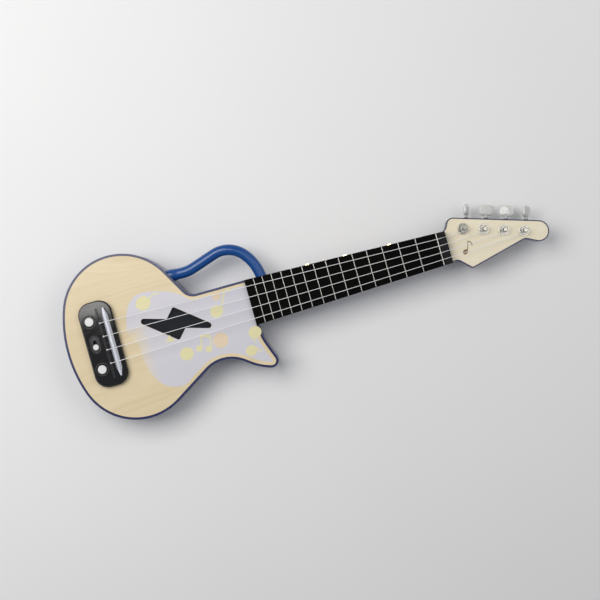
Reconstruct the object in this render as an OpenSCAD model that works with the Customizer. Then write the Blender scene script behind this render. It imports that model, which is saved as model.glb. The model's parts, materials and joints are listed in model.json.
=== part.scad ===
// Toy electric guitar: a small four-string learning instrument with lights in the neck, push buttons
// and a switch in the bridge, and an arched grip between body and neck.
// It lies on its back: +Z out of the face, +X along the neck to the headstock, +Y to the grip and knobs.
// Sub-parts are placed by their distance from the butt end; from_butt() centres the whole length on the origin.

/* [Body] */
// Width across the round bout
bout_w = 220; // [180:1:265]
// Radius of the bout's two shoulders
bout_r = 78; // [68:1:90]
// How much flatter the butt end is than a full round
butt_set = 5.5; // [4:0.5:10]
// Length from the butt end to the neck joint
body_l = 251.5; // [235:0.5:302]
// Thickness of the body
body_t = 46; // [38:1:60]
// Wall of the hollow frame
wall = 14; // [11:0.5:17]
// Thickness of the soundboard
top_t = 3; // [2:0.5:4]
// Thickness of the back panel
back_t = 4; // [3:0.5:5]
// Width of the dark rim around the pale face
rim_w = 3; // [2:0.5:4]
// Lean of the steep flank beside the grip
flank_angle = 29.4; // [24:0.2:34]
// Round where the flank runs out into the neck block
flank_r = 16; // [12:1:20]
// Half width of the body at its waist
waist_half = 62.9; // [58:0.1:70]
// Round of the waist
waist_r = 44; // [36:1:46]
// Radius of the cutaway beside the neck
cut_r = 80; // [72:1:96]
// Depth of the horn below the neck's edge
horn_drop = 50; // [44:1:56]
// Radius of the horn's tip
horn_r = 9.2; // [8:0.1:11]
// Radius of the horn's underside
under_r = 78.6; // [72:0.1:80]

/* [Neck] */
// Width of the fretboard at the body
heel_w = 61; // [56:0.5:66]
// Width of the fretboard at the nut
nut_w = 43; // [38:0.5:47]
// Thickness of the fretboard
board_t = 5.5; // [4.5:0.5:7]
// Depth of the neck at the nut
neck_t = 18; // [16:0.5:21]
// Depth of the neck's heel
heel_t = 36; // [34:0.5:37]
// Width of the tongue that sits in the body
tongue_w = 40; // [36:1:44]
// Length of the tongue
tongue_l = 49.5; // [42:0.5:52]
// Nominal string scale
scale_l = 435.5; // [400:0.5:525]
// Distance from the butt end to the saddle
saddle_back = 62.6; // [58:0.2:63]
// Extra string length at the saddle
saddle_set = 4.5; // [2:0.5:6]
// Extra string length at the zero fret
nut_set = 3.4; // [0:0.2:5]
// Number of frets
fret_count = 14; // [10:1:14]
// Radius of the fret wire's crown
fret_r = 1.1; // [0.9:0.1:1.4]
// Length of the nut along the neck
nut_l = 10; // [8:0.5:13]
// Diameter of the light pipes in the neck's side
pipe_d = 5; // [4:0.5:6]

/* [Headstock] */
// Depth of the headstock's face below the body's face
head_step = 4; // [3:0.5:6]
// Thickness of the headstock
head_t = 15; // [13:0.5:17]
// Thickness of the pale face on the headstock
face_t = 2.5; // [2:0.5:3.5]
// Width of the dark rim around the headstock's face
head_rim = 1.4; // [1:0.1:2]
// Slope of the headstock's knob side
edge_angle = 17.36; // [15:0.1:19]
// Distance between tuning posts
post_pitch = 26.6; // [24:0.2:29]
// Diameter of a tuning post
post_d = 6; // [5:0.5:7]
// Height of a tuning post above the headstock's face
post_h = 13; // [10:0.5:15]
// Width of a tuning knob
knob_w = 21; // [16:0.5:23]
// Length of a tuning knob along its shaft
knob_l = 18; // [12:0.5:18]
// Thickness of a tuning knob
knob_t = 6.5; // [5:0.5:8]
// Diameter of a worm shaft
shaft_d = 3; // [2.5:0.5:3.5]

/* [Grip] */
// Diameter of the grip tube
grip_d = 14.6; // [12:0.2:16]
// Diameter of the grip's end in the body
grip_foot_d = 16.4; // [14:0.2:18]
// Height of the grip's axis above the back
grip_z = 32; // [28:0.5:34]

/* [Bridge] */
// Width of the bridge housing along the strings
bridge_w = 44.4; // [44:0.2:50]
// Length of the bridge housing across the strings
bridge_l = 113.4; // [108:0.2:125]
// Height of the bridge housing
bridge_h = 8; // [7:0.5:10]
// Wall of the bridge housing
shell = 2; // [1.5:0.5:2.5]
// Corner radius of the bridge housing
bridge_r = 17; // [12:1:20]
// Height of the strings above the bridge housing at the saddle
saddle_h = 4.6; // [3:0.2:6]
// Diameter of the push buttons
button_d = 11.2; // [10:0.2:13]
// Travel of the push buttons
button_travel = 1.2; // [0.8:0.1:1.3]
// Diameter of the slide switch knob
slider_d = 7.5; // [6:0.5:8.5]
// Travel of the slide switch
slider_travel = 7; // [5:0.5:7]
// Distance between strings at the saddle
string_pitch = 18; // [16:0.5:19]
// Distance between strings at the nut
nut_pitch = 9.2; // [8:0.2:10]
// Diameter of a string
string_d = 0.8; // [0.6:0.1:1]

/* [Sound and power] */
// Width of the speaker's square flange
speaker_w = 44; // [38:1:45]
// Diameter of a cell
cell_d = 14.4; // [14:0.1:14.5]
// Length of a cell
cell_l = 50.5; // [44:0.5:51]
// Thickness of the circuit boards
pcb_t = 1.6; // [1:0.1:2]

/* [Hidden] */
$fn = 48;

// Gaps: eps lets cuts run past a face, fit is a seat, slip a running clearance, free a loose one
eps = 0.5;
fit = 0.05;
slip = 0.08;
free = 0.3;

// Heights above the back
under_z = body_t - top_t;
board_z = body_t + board_t;
bridge_z = body_t + bridge_h;
head_z = body_t - head_step;
head_back = head_z - head_t;
fret_top = board_z + 1;
zero_top = board_z + 1.25;

// Places along the instrument, from the butt end
string_l = scale_l + saddle_set + nut_set;
zero_x = saddle_back + string_l;
board_x = body_l - 2.5;
nut_x = zero_x + 2;
head_x = nut_x + nut_l;
head_l = 134.5;
overall_l = head_x + head_l;
hollow_end = body_l - tongue_l - 2;
bridge_x = saddle_back - 12.9;
control_x = bridge_x - 9.8;
anchor_x = saddle_back - 9.5;
hole_x = body_l - 103.7;

// Outline of the body, as tangent arcs
bout_x = bout_r + butt_set;
bout_y = bout_w / 2 - bout_r;
butt_r = (bout_x * bout_x + bout_y * bout_y - bout_r * bout_r) / (2 * butt_set);
butt_angle = atan2(bout_y, bout_x - butt_r);
bout_up = [bout_x, bout_y];
bout_low = [bout_x, -bout_y];
flank_n = [cos(flank_angle), sin(flank_angle)];
waist_c = [body_l - 57.5, -waist_half - waist_r];
tip_c = [body_l + 3.5, -heel_w / 2 - horn_drop];
under_lean = 73.9;
under_c = tip_c + (under_r - horn_r) * [cos(under_lean), sin(under_lean)];
cut_c = [body_l + cut_r, -heel_w / 2];
waist_in = into_hollow(bout_low, bout_r, waist_c, waist_r);
waist_out = out_of_hollow(waist_c, waist_r, under_c, under_r);
cut_in = into_hollow(tip_c, horn_r, cut_c, cut_r);

// Where a line that leans like the flank, run in from it by d, passes the height y
function flank_x(y, d) = bout_x + (bout_r - d - (y - bout_y) * flank_n.y) / flank_n.x;

// Points on an arc, from angle a to angle b
function arc(c, r, a, b, n = 12) = [
    for (i = [0:2 * n]) let (t = a + (b - a) * i / (2 * n)) c + r * [cos(t), sin(t)]
];

// Direction of the common tangent's normal, from a round edge into a hollow one, and back out of it
function into_hollow(a, ra, b, rb) = atan2(b.y - a.y, b.x - a.x) - acos(min(1, (ra + rb) / norm(b - a)));
function out_of_hollow(a, ra, b, rb) = atan2(b.y - a.y, b.x - a.x) - 180 + acos(min(1, (ra + rb) / norm(b - a)));

// The body's outline, run in by d all round
function body_outline(d) = let (fillet_y = heel_w / 2 + flank_r) concat(
    [[body_l - d, heel_w / 2 - d]],
    arc([flank_x(fillet_y, -flank_r), fillet_y], flank_r + d, 270, 180 + flank_angle, 6),
    arc(bout_up, bout_r - d, flank_angle, butt_angle, 20),
    arc([butt_r, 0], butt_r - d, butt_angle, 360 - butt_angle, 10),
    arc(bout_low, bout_r - d, 360 - butt_angle, 360 + waist_in, 18),
    arc(waist_c, waist_r + d, waist_in + 180, waist_out + 180, 10),
    arc(under_c, under_r - d, waist_out, under_lean - 180, 6),
    arc(tip_c, horn_r - d, under_lean - 180, cut_in, 10),
    arc(cut_c, cut_r + d, cut_in + 180, 180, 6)
);

// The hollow inside the frame
function hollow_outline() = let (side_y = heel_w / 2 - wall + 2) concat(
    [[hollow_end, side_y], [flank_x(side_y, wall), side_y]],
    arc(bout_up, bout_r - wall, flank_angle, butt_angle, 16),
    arc([butt_r, 0], butt_r - wall, butt_angle, 360 - butt_angle, 8),
    arc(bout_low, bout_r - wall, 360 - butt_angle, 360 + waist_in, 14),
    arc(waist_c, waist_r + wall, waist_in + 180, 90, 5),
    [[hollow_end, waist_c.y + waist_r + wall]]
);

// A closed path whose corners [x, y, r] are rounded by their own radius r
function unit(v) = v / norm(v);
function corner(a, b, c, n) = b.z == 0 ? [[b.x, b.y]] : let (
    p = [b.x, b.y],
    u = unit([a.x, a.y] - p),
    v = unit([c.x, c.y] - p),
    half = acos(u * v) / 2,
    centre = p + unit(u + v) * b.z / sin(half),
    from = p + u * b.z / tan(half) - centre,
    to = p + v * b.z / tan(half) - centre,
    start = atan2(from.y, from.x),
    turn = (atan2(to.y, to.x) - start + 540) % 360 - 180
) arc(centre, b.z, start, start + turn, n);
function round_path(c, n = 6) = [
    for (i = [0:len(c) - 1])
        each corner(c[(i + len(c) - 1) % len(c)], c[i], c[(i + 1) % len(c)], n)
];

// A closed path run in by d: every point moves square to its neighbours' chord
function inset(path, d) = [
    for (i = [0:len(path) - 1])
        let (v = unit(path[(i + 1) % len(path)] - path[(i + len(path) - 1) % len(path)]))
        path[i] + d * [-v.y, v.x]
];

// The headstock's outline, anticlockwise, from the nut's end of the neck, which it runs past by eps
head_path = round_path([
    [-eps, -nut_w / 2 + 1, 0], [8.5, -20, 8], [24.5, -35.3, 5], [101, -16.3, 8], [head_l, -33.6, 13.4],
    [head_l, -0.9, 14], [10.2, 38, 9], [3.5, 25, 5], [-eps, nut_w / 2, 0]
]);
// The pale face's outline, run in by d but flush with the nut
function face_path(d) = [for (p = inset(head_path, d)) [max(p.x, 0), p.y]];
post_at = [26.1, 18.1];
edge_n = 14.3;

// The bolt-shaped sound hole, about its centre
bolt_half = [[-57.6, 22.8, 3.8], [-1.6, -22.2, 2.5], [10.3, -8.8, 2]];
bolt_path = round_path(concat(bolt_half, [for (p = bolt_half) [-p.x, -p.y, p.z]]), 4);

// Half of the neck's width at a place along it
function neck_half(x) = (heel_w + (nut_w - heel_w) * (x - board_x) / (head_x - board_x)) / 2;
function fret_x(n) = zero_x - nut_set - scale_l * (1 - pow(2, -n / 12));

// Tuner gearing, in the frame of one post: x along the headstock's edge, y out to the knob
gear_r = 3.8;
gear_teeth = 14;
worm_r = 2;
worm_e = gear_r + worm_r + 0.1;
worm_z = head_back - 4.4;
ferrule_n = edge_n + 1.7;
housing_n = 9;
housing_h = 8.5;
plate_t = 1.2;
knob_turn = [72, 12, -16, 58];
coil_r = post_d / 2 + 0.1 + string_d / 2;
bushing_r = 4.4;
washer_r = 7.6;
washer_t = 1.4;
coil_z = head_z + washer_t + 3.9 * string_d;

// Inside the body
tray_x = bridge_x + 2.3;
tray_w = 3 * cell_d + 6.8;
tray_l = cell_l + 23.5;
tray_low = 2.2;
tray_top = tray_low + cell_d + 7.4;
cell_step = cell_d + 0.8;
cell_z = tray_low + cell_d / 2 + 3.1;
plate_y = cell_l / 2 + 4;
door_screw_y = tray_l / 2 - 3.8;
main_c = [bout_x + 1.5, bout_y + 28.5];
main_w = 64;
main_l = 40;
main_z = back_t + 6;
main_top = main_z + pcb_t;
speaker_c = [hole_x - 6, -1];
speaker_hole = speaker_w / 2 - 3;
speaker_z = under_z - 9;
panel_z = under_z;
panel_top = panel_z + pcb_t;
button_y = 32;
slider_y = -2;
control_screws = [21, -18];
bridge_screw_at = [for (x = [-14.5, 14.5], y = [-48, 48]) [bridge_x + x, y]];
pipe_x = [for (n = [9, 6, 3]) (fret_x(n) + fret_x(n - 1)) / 2];
pipe_z = body_t - pipe_d / 2 - 0.3;
channel_y = [10, 17];
socket_y = main_c.y - main_l / 2;
sockets = [main_c.x - 21, main_c.x - 1, main_c.x + 21];

// Wood screws through the back panel, in the middle of the frame's wall
back_screw_at = concat(
    [[wall / 2, 0], [hollow_end + 15, (heel_w + tongue_w) / 4], tip_c + [-4, 4]],
    [for (s = [-1, 1], a = [62, 128]) [bout_x, s * bout_y] + (bout_r - wall / 2) * [cos(a), s * sin(a)]]
);
neck_screw_at = [for (x = [-38, -12], y = [-12, 12]) [body_l + x, y]];

// The grip's centreline as [length, radius, turn]: straight pieces have no turn
grip_start = [flank_x(63.4, 0) - 9, 63.4];
grip_heading = -2.5;
grip_foot_l = 12;
grip_screw_in = 6.6;
grip_runs = [
    [11.4, 0, 0], [0, 55, 20.5], [31.1, 0, 0], [0, 36, -68], [0, 60, -30], [14, 0, 0]
];

// Routes of the leads inside the body
battery_route = [
    [tray_x + tray_w / 2, 20, 14], [tray_x + tray_w / 2 + 3, 20, 14], [sockets[1], 28, 14], [sockets[1], socket_y, 14]
];
speaker_route = [
    [speaker_c.x - speaker_w / 2, 8, speaker_z + 0.8], [speaker_c.x - speaker_w / 2 - 3, 8, speaker_z + 0.8],
    [sockets[2], 22, 30], [sockets[2], socket_y - 4, 14], [sockets[2], socket_y, 14]
];
control_route = [
    [control_x + 5, 32, panel_z], [control_x + 5, 32, 34], [sockets[0], socket_y + 2.5, 30],
    [sockets[0], socket_y + 2.5, main_top + 5]
];
light_route = [
    [main_c.x + main_w / 2, main_c.y, 14], [main_c.x + main_w / 2 + 3, main_c.y, 14], [flank_x(34, wall) - 6, 34, 20],
    [flank_x(22, wall) - 4.6, 22, 26], [hollow_end - 32, 10, 36], [hollow_end, 12, under_z - 2.7],
    [body_l + 0.5, 12, under_z - 2.7], [body_l + 4, 13.5, body_t - 3.3],
    [body_l + 6.5, 13.5, body_t - 3.3]
];

// Strings, from the player's side to the far side
function string_y(i, pitch) = (1.5 - i) * pitch;
function post_xy(i) = [head_x, 0] + post_at + i * post_pitch * [cos(edge_angle), -sin(edge_angle)];
function string_route(i) = [
    [anchor_x, string_y(i, string_pitch), bridge_z - shell - 1.6],
    [anchor_x, string_y(i, string_pitch), bridge_z + 0.7],
    [saddle_back, string_y(i, string_pitch), bridge_z + saddle_h + string_d / 2],
    [zero_x, string_y(i, nut_pitch), zero_top + string_d / 2],
    [post_xy(i).x, post_xy(i).y - coil_r, coil_z]
];

module from_butt() {
    translate([-overall_l / 2, 0, 0]) children();
}

module slab(path, low, high) {
    translate([0, 0, low]) linear_extrude(high - low) polygon(path);
}

module rod(r, low, high) {
    translate([0, 0, low]) cylinder(r = r, h = high - low);
}

module block(low, high) {
    translate(low) cube(high - low);
}

// Turns the X axis onto the way from p to q, and starts there
module along(p, q) {
    d = q - p;
    translate(p) rotate([0, -atan2(d.z, norm([d.x, d.y])), atan2(d.y, d.x)]) children();
}

// A closed skin over rings of points, which all have the same count and turn clockwise seen along the way
module skin(rings) {
    count = len(rings);
    sides = len(rings[0]);
    ends = [[for (k = [0:sides - 1]) k], [for (k = [sides - 1:-1:0]) (count - 1) * sides + k]];
    walls = [
        for (i = [0:count - 2], k = [0:sides - 1]) let (a = i * sides + k, b = i * sides + (k + 1) % sides)
            each [[b, a, b + sides], [b + sides, a, a + sides]]
    ];
    polyhedron([for (r = rings) each r], concat(ends, walls), convexity = 6);
}

// A tube swept along a path, with its own radius at each point
function heading(path, i) = unit(
    (i < len(path) - 1 ? unit(path[i + 1] - path[i]) : [0, 0, 0]) + (i > 0 ? unit(path[i] - path[i - 1]) : [0, 0, 0])
);
function square_to(v, t) = unit(v - (v * t) * t);
module sweep(path, radii, sides = 8) {
    count = len(path);
    first = abs(heading(path, 0).z) > 0.9 ? [0, 1, 0] : [0, 0, 1];
    normals = [
        for (i = 0, v = square_to(first, heading(path, 0)); i < count;
            i = i + 1, v = square_to(v, heading(path, min(i, count - 1)))) v
    ];
    skin([
        for (i = [0:count - 1]) [
            for (k = [0:sides - 1])
                let (a = 360 * k / sides)
                path[i] + radii[i] * (cos(a) * normals[i] + sin(a) * cross(heading(path, i), normals[i]))
        ]
    ]);
}

module lead(route) {
    sweep(route, [for (p = route) 1]);
}

// Points on a coil about the Z axis, from height low to height high
function coil(r, low, high, turns, start, steps = 16) = [
    for (i = [0:turns * steps]) let (a = start + 360 * i / steps)
        [r * cos(a), r * sin(a), low + (high - low) * i / (turns * steps)]
];

// A pan-head screw that points up, with its cross recess; z = 0 is under the head
module screw(l, r, head_r, head_h) {
    difference() {
        union() {
            rod(head_r, -head_h, 0);
            rod(r, -eps, l);
        }
        for (a = [0, 90])
            rotate(a) block([-head_r * 0.6, -0.4, -head_h - eps], [head_r * 0.6, 0.4, -head_h / 2]);
    }
}

module at_post(i) {
    translate([post_xy(i).x, post_xy(i).y, 0]) rotate(-edge_angle) children();
}

// ---- Body ----

module body_frame() {
    color("midnightblue") from_butt() difference() {
        slab(body_outline(0), back_t, body_t);
        slab(body_outline(rim_w), under_z, body_t + eps);
        slab(hollow_outline(), back_t - eps, under_z + eps);
        block([hollow_end - eps, -tongue_w / 2 - fit, 10], [body_l + eps, tongue_w / 2 + fit, body_t + eps]);
        grip_foot_bore();
        for (p = back_screw_at)
            translate(p) rod(1.5 + fit, back_t - eps, back_t + 16);
        for (p = neck_screw_at)
            translate(p) rod(1.6 + fit, back_t - eps, 10 + eps);
    }
}

module soundboard() {
    color("wheat") from_butt() difference() {
        slab(body_outline(rim_w + fit), under_z, body_t);
        translate([hole_x, 0, 0]) slab(bolt_path, under_z - eps, body_t + eps);
        block([control_x - 11, -44, under_z - eps], [control_x + 11, 44, body_t + eps]);
        for (p = bridge_screw_at)
            translate(p) rod(1.7, under_z - eps, body_t + eps);
    }
}

module back_panel() {
    color("midnightblue") from_butt() difference() {
        slab(body_outline(0), 0, back_t);
        door_block(free, -eps, back_t + eps);
        for (p = concat(back_screw_at, neck_screw_at))
            translate(p) {
                rod(3.6, -eps, 2.4);
                rod(1.7, 0, back_t + eps);
            }
    }
}

module back_screws() {
    color("silver") from_butt() for (p = back_screw_at)
        translate([p.x, p.y, 2.4]) screw(16, 1.5, 3.3, 2);
}

// ---- Neck ----

// The neck's rounded cross-section at a place along it, t deep below its top; a small e squares it up
function neck_section(x, t, e) = let (half = neck_half(x))
    [for (i = [15:-1:0]) [x, half * cos(12 * i), body_t - t * pow(sin(12 * i), e)]];

module neck() {
    color("midnightblue") from_butt() difference() {
        union() {
            skin([
                neck_section(body_l, heel_t, 0.5), neck_section(body_l + 30, heel_t, 0.5),
                neck_section(body_l + 43, (heel_t + neck_t + 3) / 2, 0.56),
                neck_section(body_l + 56, neck_t + 3, 0.62), neck_section(head_x - 16, neck_t, 0.62),
                neck_section(head_x, body_t - head_back, 0.15)
            ]);
            block([body_l - tongue_l, -tongue_w / 2, 10], [body_l + 1, tongue_w / 2, under_z]);
            translate([head_x, 0, 0]) slab(head_path, head_back, head_z);
        }
        translate([head_x, 0, 0]) slab(face_path(head_rim), head_z - face_t, head_z + eps);
        for (i = [0:3])
            at_post(i) {
                rod(bushing_r + fit, head_back - eps, head_z + eps);
                for (n = [-5, 6])
                    translate([-9.5, n, 0]) rod(1.1 + fit, head_back - eps, head_back + 8);
            }
        block([body_l + 10, channel_y[0], body_t - 4], [pipe_x[2] + 6, channel_y[1], body_t + eps]);
        block([body_l - 1, channel_y[0] - 0.5, under_z - 4.5], [body_l + 10.5, channel_y[1], body_t + eps]);
        block([body_l - tongue_l - eps, 9.5, under_z - 4.5], [body_l, 14.5, under_z + eps]);
        for (x = pipe_x)
            translate([x, channel_y[1] - 1, pipe_z]) rotate([-90, 0, 0]) cylinder(d = pipe_d + 2 * fit, h = 40);
        for (p = neck_screw_at)
            translate(p) rod(1.6 + fit, 10 - eps, 27);
        grip_end_bore();
        translate([grip_end().x, grip_end().y + 4, 0]) {
            rod(1.5 + fit, grip_z - 5, body_t + eps);
            rod(3.3, body_t - 2.2, body_t + eps);
        }
    }
}

module neck_screws() {
    color("silver") from_butt() for (p = neck_screw_at)
        translate([p.x, p.y, 2.4]) screw(24, 1.6, 3.3, 2);
}

module fretboard() {
    color("#17171a") from_butt() difference() {
        slab([
            [board_x, -neck_half(board_x)], [nut_x, -neck_half(nut_x)],
            [nut_x, neck_half(nut_x)], [board_x, neck_half(board_x)]
        ], body_t, board_z);
        for (n = [0:fret_count])
            fret_tang(n == 0 ? zero_x : fret_x(n));
    }
}

// The thin foot of a fret, which is also its slot
module fret_tang(x) {
    block([x - 0.3, -neck_half(x) + 0.6, board_z - 1.6], [x + 0.3, neck_half(x) - 0.6, board_z + 0.2]);
}

// Fret wire: a low crown across the board, h high, on its tang
module fret(x, h) {
    half = neck_half(x) - 0.4;
    fret_tang(x);
    intersection() {
        translate([x, -half, board_z + h - fret_r]) rotate([-90, 0, 0]) cylinder(r = fret_r, h = 2 * half, $fn = 32);
        block([x - 3, -half - 1, board_z], [x + 3, half + 1, board_z + 4]);
    }
}

module frets() {
    color("silver") from_butt() for (n = [1:fret_count])
        fret(fret_x(n), fret_top - board_z);
}

module zero_fret() {
    color("silver") from_butt() fret(zero_x, zero_top - board_z);
}

module nut() {
    color("#1c1c20") from_butt() difference() {
        slab([
            [nut_x, -neck_half(nut_x)], [head_x, -neck_half(head_x)],
            [head_x, neck_half(head_x)], [nut_x, neck_half(nut_x)]
        ], body_t, zero_top + 0.6);
        for (i = [0:3])
            along(string_route(i)[3], string_route(i)[4])
                block([0, -string_d / 2 - 0.1, -string_d / 2], [nut_l + 20, string_d / 2 + 0.1, 12]);
    }
}

module head_face() {
    color("wheat") from_butt() difference() {
        translate([head_x, 0, 0]) slab(face_path(head_rim + fit), head_z - face_t, head_z);
        for (i = [0:3])
            at_post(i) rod(bushing_r + fit, head_back, head_z + eps);
    }
}

module light_pipes() {
    color("white") from_butt() for (x = pipe_x)
        translate([x, channel_y[1] - 0.2, pipe_z]) rotate([-90, 0, 0]) {
            cylinder(d = pipe_d, h = neck_half(x) - channel_y[1] + 0.2);
            translate([0, 0, neck_half(x) - channel_y[1]]) cylinder(d1 = pipe_d, d2 = pipe_d - 2, h = 1);
        }
}

module light_board() {
    color("darkgreen") from_butt()
        block([body_l + 6.5, channel_y[0] + 0.5, body_t - 3.9], [pipe_x[2] + 5, channel_y[1] - 0.7, body_t - 2.7]);
}

module lamps() {
    color("ivory") from_butt() for (x = pipe_x)
        block([x - 2, channel_y[1] - 3.2, body_t - 2.7], [x + 2, channel_y[1] - 1.2, body_t - 0.7]);
}

// ---- Grip ----

// Where the centreline is, and where it heads, after the first n runs
function grip_heading_at(n) = n == 0 ? grip_heading : grip_heading_at(n - 1) + grip_runs[n - 1][2];
function grip_step(h, run) = run[2] == 0 ? run[0] * [cos(h), sin(h)]
    : sign(run[2]) * run[1] * [sin(h + run[2]) - sin(h), cos(h) - cos(h + run[2])];
function grip_point(n) = n == 0 ? grip_start + grip_foot_l * [cos(grip_heading), sin(grip_heading)]
    : grip_point(n - 1) + grip_step(grip_heading_at(n - 1), grip_runs[n - 1]);
function grip_end() = grip_point(len(grip_runs));

// Points along the centreline, with a step every six degrees of a bend
grip_path = concat(
    [grip_start, grip_point(0), grip_point(0) + 8 * [cos(grip_heading), sin(grip_heading)]],
    [for (n = [0:len(grip_runs) - 1]) let (run = grip_runs[n], steps = ceil(abs(run[2]) / 6 + 0.1))
        each [for (k = [1:steps]) grip_point(n) + grip_step(grip_heading_at(n), run * k / steps + [0, run[1] * (1 - k / steps), 0])]]
);

module at_grip() {
    translate([grip_start.x, grip_start.y, grip_z]) rotate(grip_heading) children();
}

module handle() {
    color("royalblue") from_butt() difference() {
        sweep([for (p = grip_path) [p.x, p.y, grip_z]], [for (k = [0:len(grip_path) - 1]) (k < 2 ? grip_foot_d : grip_d) / 2], 32);
        at_grip() rotate([0, 90, 0]) rod(1.5 + fit, -eps, 10);
        translate([grip_end().x, grip_end().y + 4, 0]) rod(1.5 + fit, grip_z - 5, grip_z + grip_d);
    }
}

// The socket for the grip's foot in the frame's flank, and its screw hole from the hollow
module grip_foot_bore() {
    at_grip() rotate([0, 90, 0]) {
        rod(grip_foot_d / 2 + fit, 0, 40);
        rod(1.6, -grip_screw_in - eps, eps);
        rod(3.3, -25, -grip_screw_in);
    }
}

// The socket for the grip's end in the side of the neck
module grip_end_bore() {
    translate([grip_end().x, grip_end().y, grip_z]) rotate(grip_heading_at(len(grip_runs)) + 180)
        rotate([0, 90, 0]) cylinder(d = grip_d + 2 * fit, h = 30);
}

module handle_screws() {
    color("silver") from_butt() {
        at_grip() translate([-grip_screw_in, 0, 0]) rotate([0, 90, 0]) screw(15, 1.5, 3, 2);
        translate([grip_end().x, grip_end().y + 4, body_t - 2.2]) rotate([180, 0, 0]) screw(16, 1.5, 3.1, 2);
    }
}

// ---- Bridge and controls ----

function bridge_path(d) = let (x = bridge_w / 2 - d, y = bridge_l / 2 - d, r = bridge_r - d)
    round_path([[x, y, r], [-x, y, r], [-x, -y, r], [x, -y, r]], 8);

module bridge_housing() {
    color("#0c0c0e") from_butt() difference() {
        union() {
            difference() {
                translate([bridge_x, 0, 0]) hull() {
                    slab(bridge_path(0), body_t, bridge_z - 1.6);
                    slab(bridge_path(1.6), bridge_z - 0.1, bridge_z);
                }
                translate([bridge_x, 0, 0]) slab(bridge_path(shell), body_t - eps, bridge_z - shell);
            }
            for (p = bridge_screw_at)
                translate(p) rod(3.5, body_t, bridge_z - 1);
            for (y = control_screws)
                translate([control_x, y, 0]) rod(3, panel_top, bridge_z - 1);
        }
        for (y = [-button_y, button_y])
            translate([control_x, y, 0]) {
                rod(button_d / 2 + free, bridge_z - 4, bridge_z + eps);
                rod(button_d / 2 + 2.4, bridge_z - 0.6, bridge_z + eps);
            }
        translate([control_x, slider_y + slider_travel / 2 - 0.5, 0]) {
            slab(round_path([[5.6, 11, 5.5], [-5.6, 11, 5.5], [-5.6, -11, 5.5], [5.6, -11, 5.5]]), bridge_z - 1, bridge_z + eps);
        }
        slider_slot(2, bridge_z - 4, bridge_z);
        for (i = [0:3])
            translate([anchor_x, string_y(i, string_pitch), 0]) rod(0.7, bridge_z - 4, bridge_z + eps);
        for (y = [-38, 38])
            translate([saddle_back, y, 0]) rod(1.5 + fit, bridge_z - 4, bridge_z + eps);
        for (p = bridge_screw_at)
            translate(p) rod(1.4 + fit, body_t - eps, bridge_z - 2);
        for (y = control_screws)
            translate([control_x, y, 0]) rod(1.1 + fit, panel_top - eps, bridge_z - 2);
    }
}

// The straight slot that the slider's stem of radius r runs in
module slider_slot(r, low, high) {
    translate([control_x, slider_y, 0]) {
        rod(r, low, high);
        translate([0, slider_travel, 0]) rod(r, low, high);
        block([-r, 0, low], [r, slider_travel, high]);
    }
}

module saddle() {
    half = bridge_l / 2 - 8;
    slope = atan((saddle_h + string_d / 2 - 0.7) / (saddle_back - anchor_x));
    groove = string_d / 2 + 0.15;
    color("silver") from_butt() {
        difference() {
            intersection() {
                translate([saddle_back, 0, 0]) slab(round_path([
                    [0, half, 1], [-3.8, half - 14, 18], [-3.8, 14 - half, 18],
                    [0, -half, 1], [3.8, 14 - half, 18], [3.8, half - 14, 18]
                ]), bridge_z, bridge_z + saddle_h);
                translate([saddle_back, -half - 1, bridge_z + saddle_h - 7]) rotate([-90, 0, 0])
                    cylinder(r = 7, h = 2 * half + 2, $fn = 64);
            }
            for (i = [0:3])
                translate([saddle_back, string_y(i, string_pitch), bridge_z + saddle_h + string_d / 2]) {
                    rotate([0, -slope, 0]) block([-8, -groove, -groove], [0.3, groove, 3]);
                    block([0, -groove, -groove], [8, groove, 3]);
                }
        }
        for (y = [-38, 38])
            translate([saddle_back, y, 0]) rod(1.5, bridge_z - 3, bridge_z + 1);
    }
}

module bridge_screws() {
    color("silver") from_butt() for (p = bridge_screw_at)
        translate([p.x, p.y, under_z]) screw(8, 1.4, 3, 1.8);
}

// A push button: cap, and the flange that keeps it under the housing's top
module button(y) {
    flange_z = bridge_z - shell - free;
    color("white") from_butt() translate([control_x, y, 0]) {
        rod(button_d / 2, flange_z - 1, bridge_z + 1.2);
        rod(button_d / 2 + 1.6, flange_z - 1.4, flange_z);
        rod(2.5, panel_top + 3.5 + button_travel + free, flange_z - 1);
    }
}

module upper_button() {
    button(button_y);
}

module lower_button() {
    button(-button_y);
}

module switch_knob() {
    color("white") from_butt() translate([control_x, slider_y, 0]) {
        rod(slider_d / 2, bridge_z - 0.7, bridge_z + 1.5);
        rod(1.7, panel_top + 2.7, bridge_z);
    }
}

module slide_switch() {
    color("dimgray") from_butt() difference() {
        block([control_x - 3.5, slider_y - 4, panel_top], [control_x + 3.5, slider_y + slider_travel + 4, panel_top + 4.4]);
        slider_slot(2, panel_top + 2.4, panel_top + 5);
    }
}

module tact_switches() {
    color("dimgray") from_butt() for (y = [-button_y, button_y])
        translate([control_x, y, panel_top]) {
            block([-3, -3, 0], [3, 3, 2.6]);
            rod(1.7, 2, 3.5);
        }
}

module control_board() {
    color("darkgreen") from_butt() difference() {
        block([control_x - 9, -42, panel_z], [control_x + 9, 42, panel_top]);
        for (y = control_screws)
            translate([control_x, y, 0]) rod(1.2, panel_z - eps, panel_top + eps);
    }
}

module board_screws() {
    color("silver") from_butt() {
        for (y = control_screws)
            translate([control_x, y, panel_z]) screw(7, 1.1, 2.2, 1.5);
        for (x = [-28, 28], y = [-16, 16])
            translate([main_c.x + x, main_c.y + y, main_top]) rotate([180, 0, 0]) screw(6, 1.1, 2.2, 1.5);
    }
}

// ---- Sound ----

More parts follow.
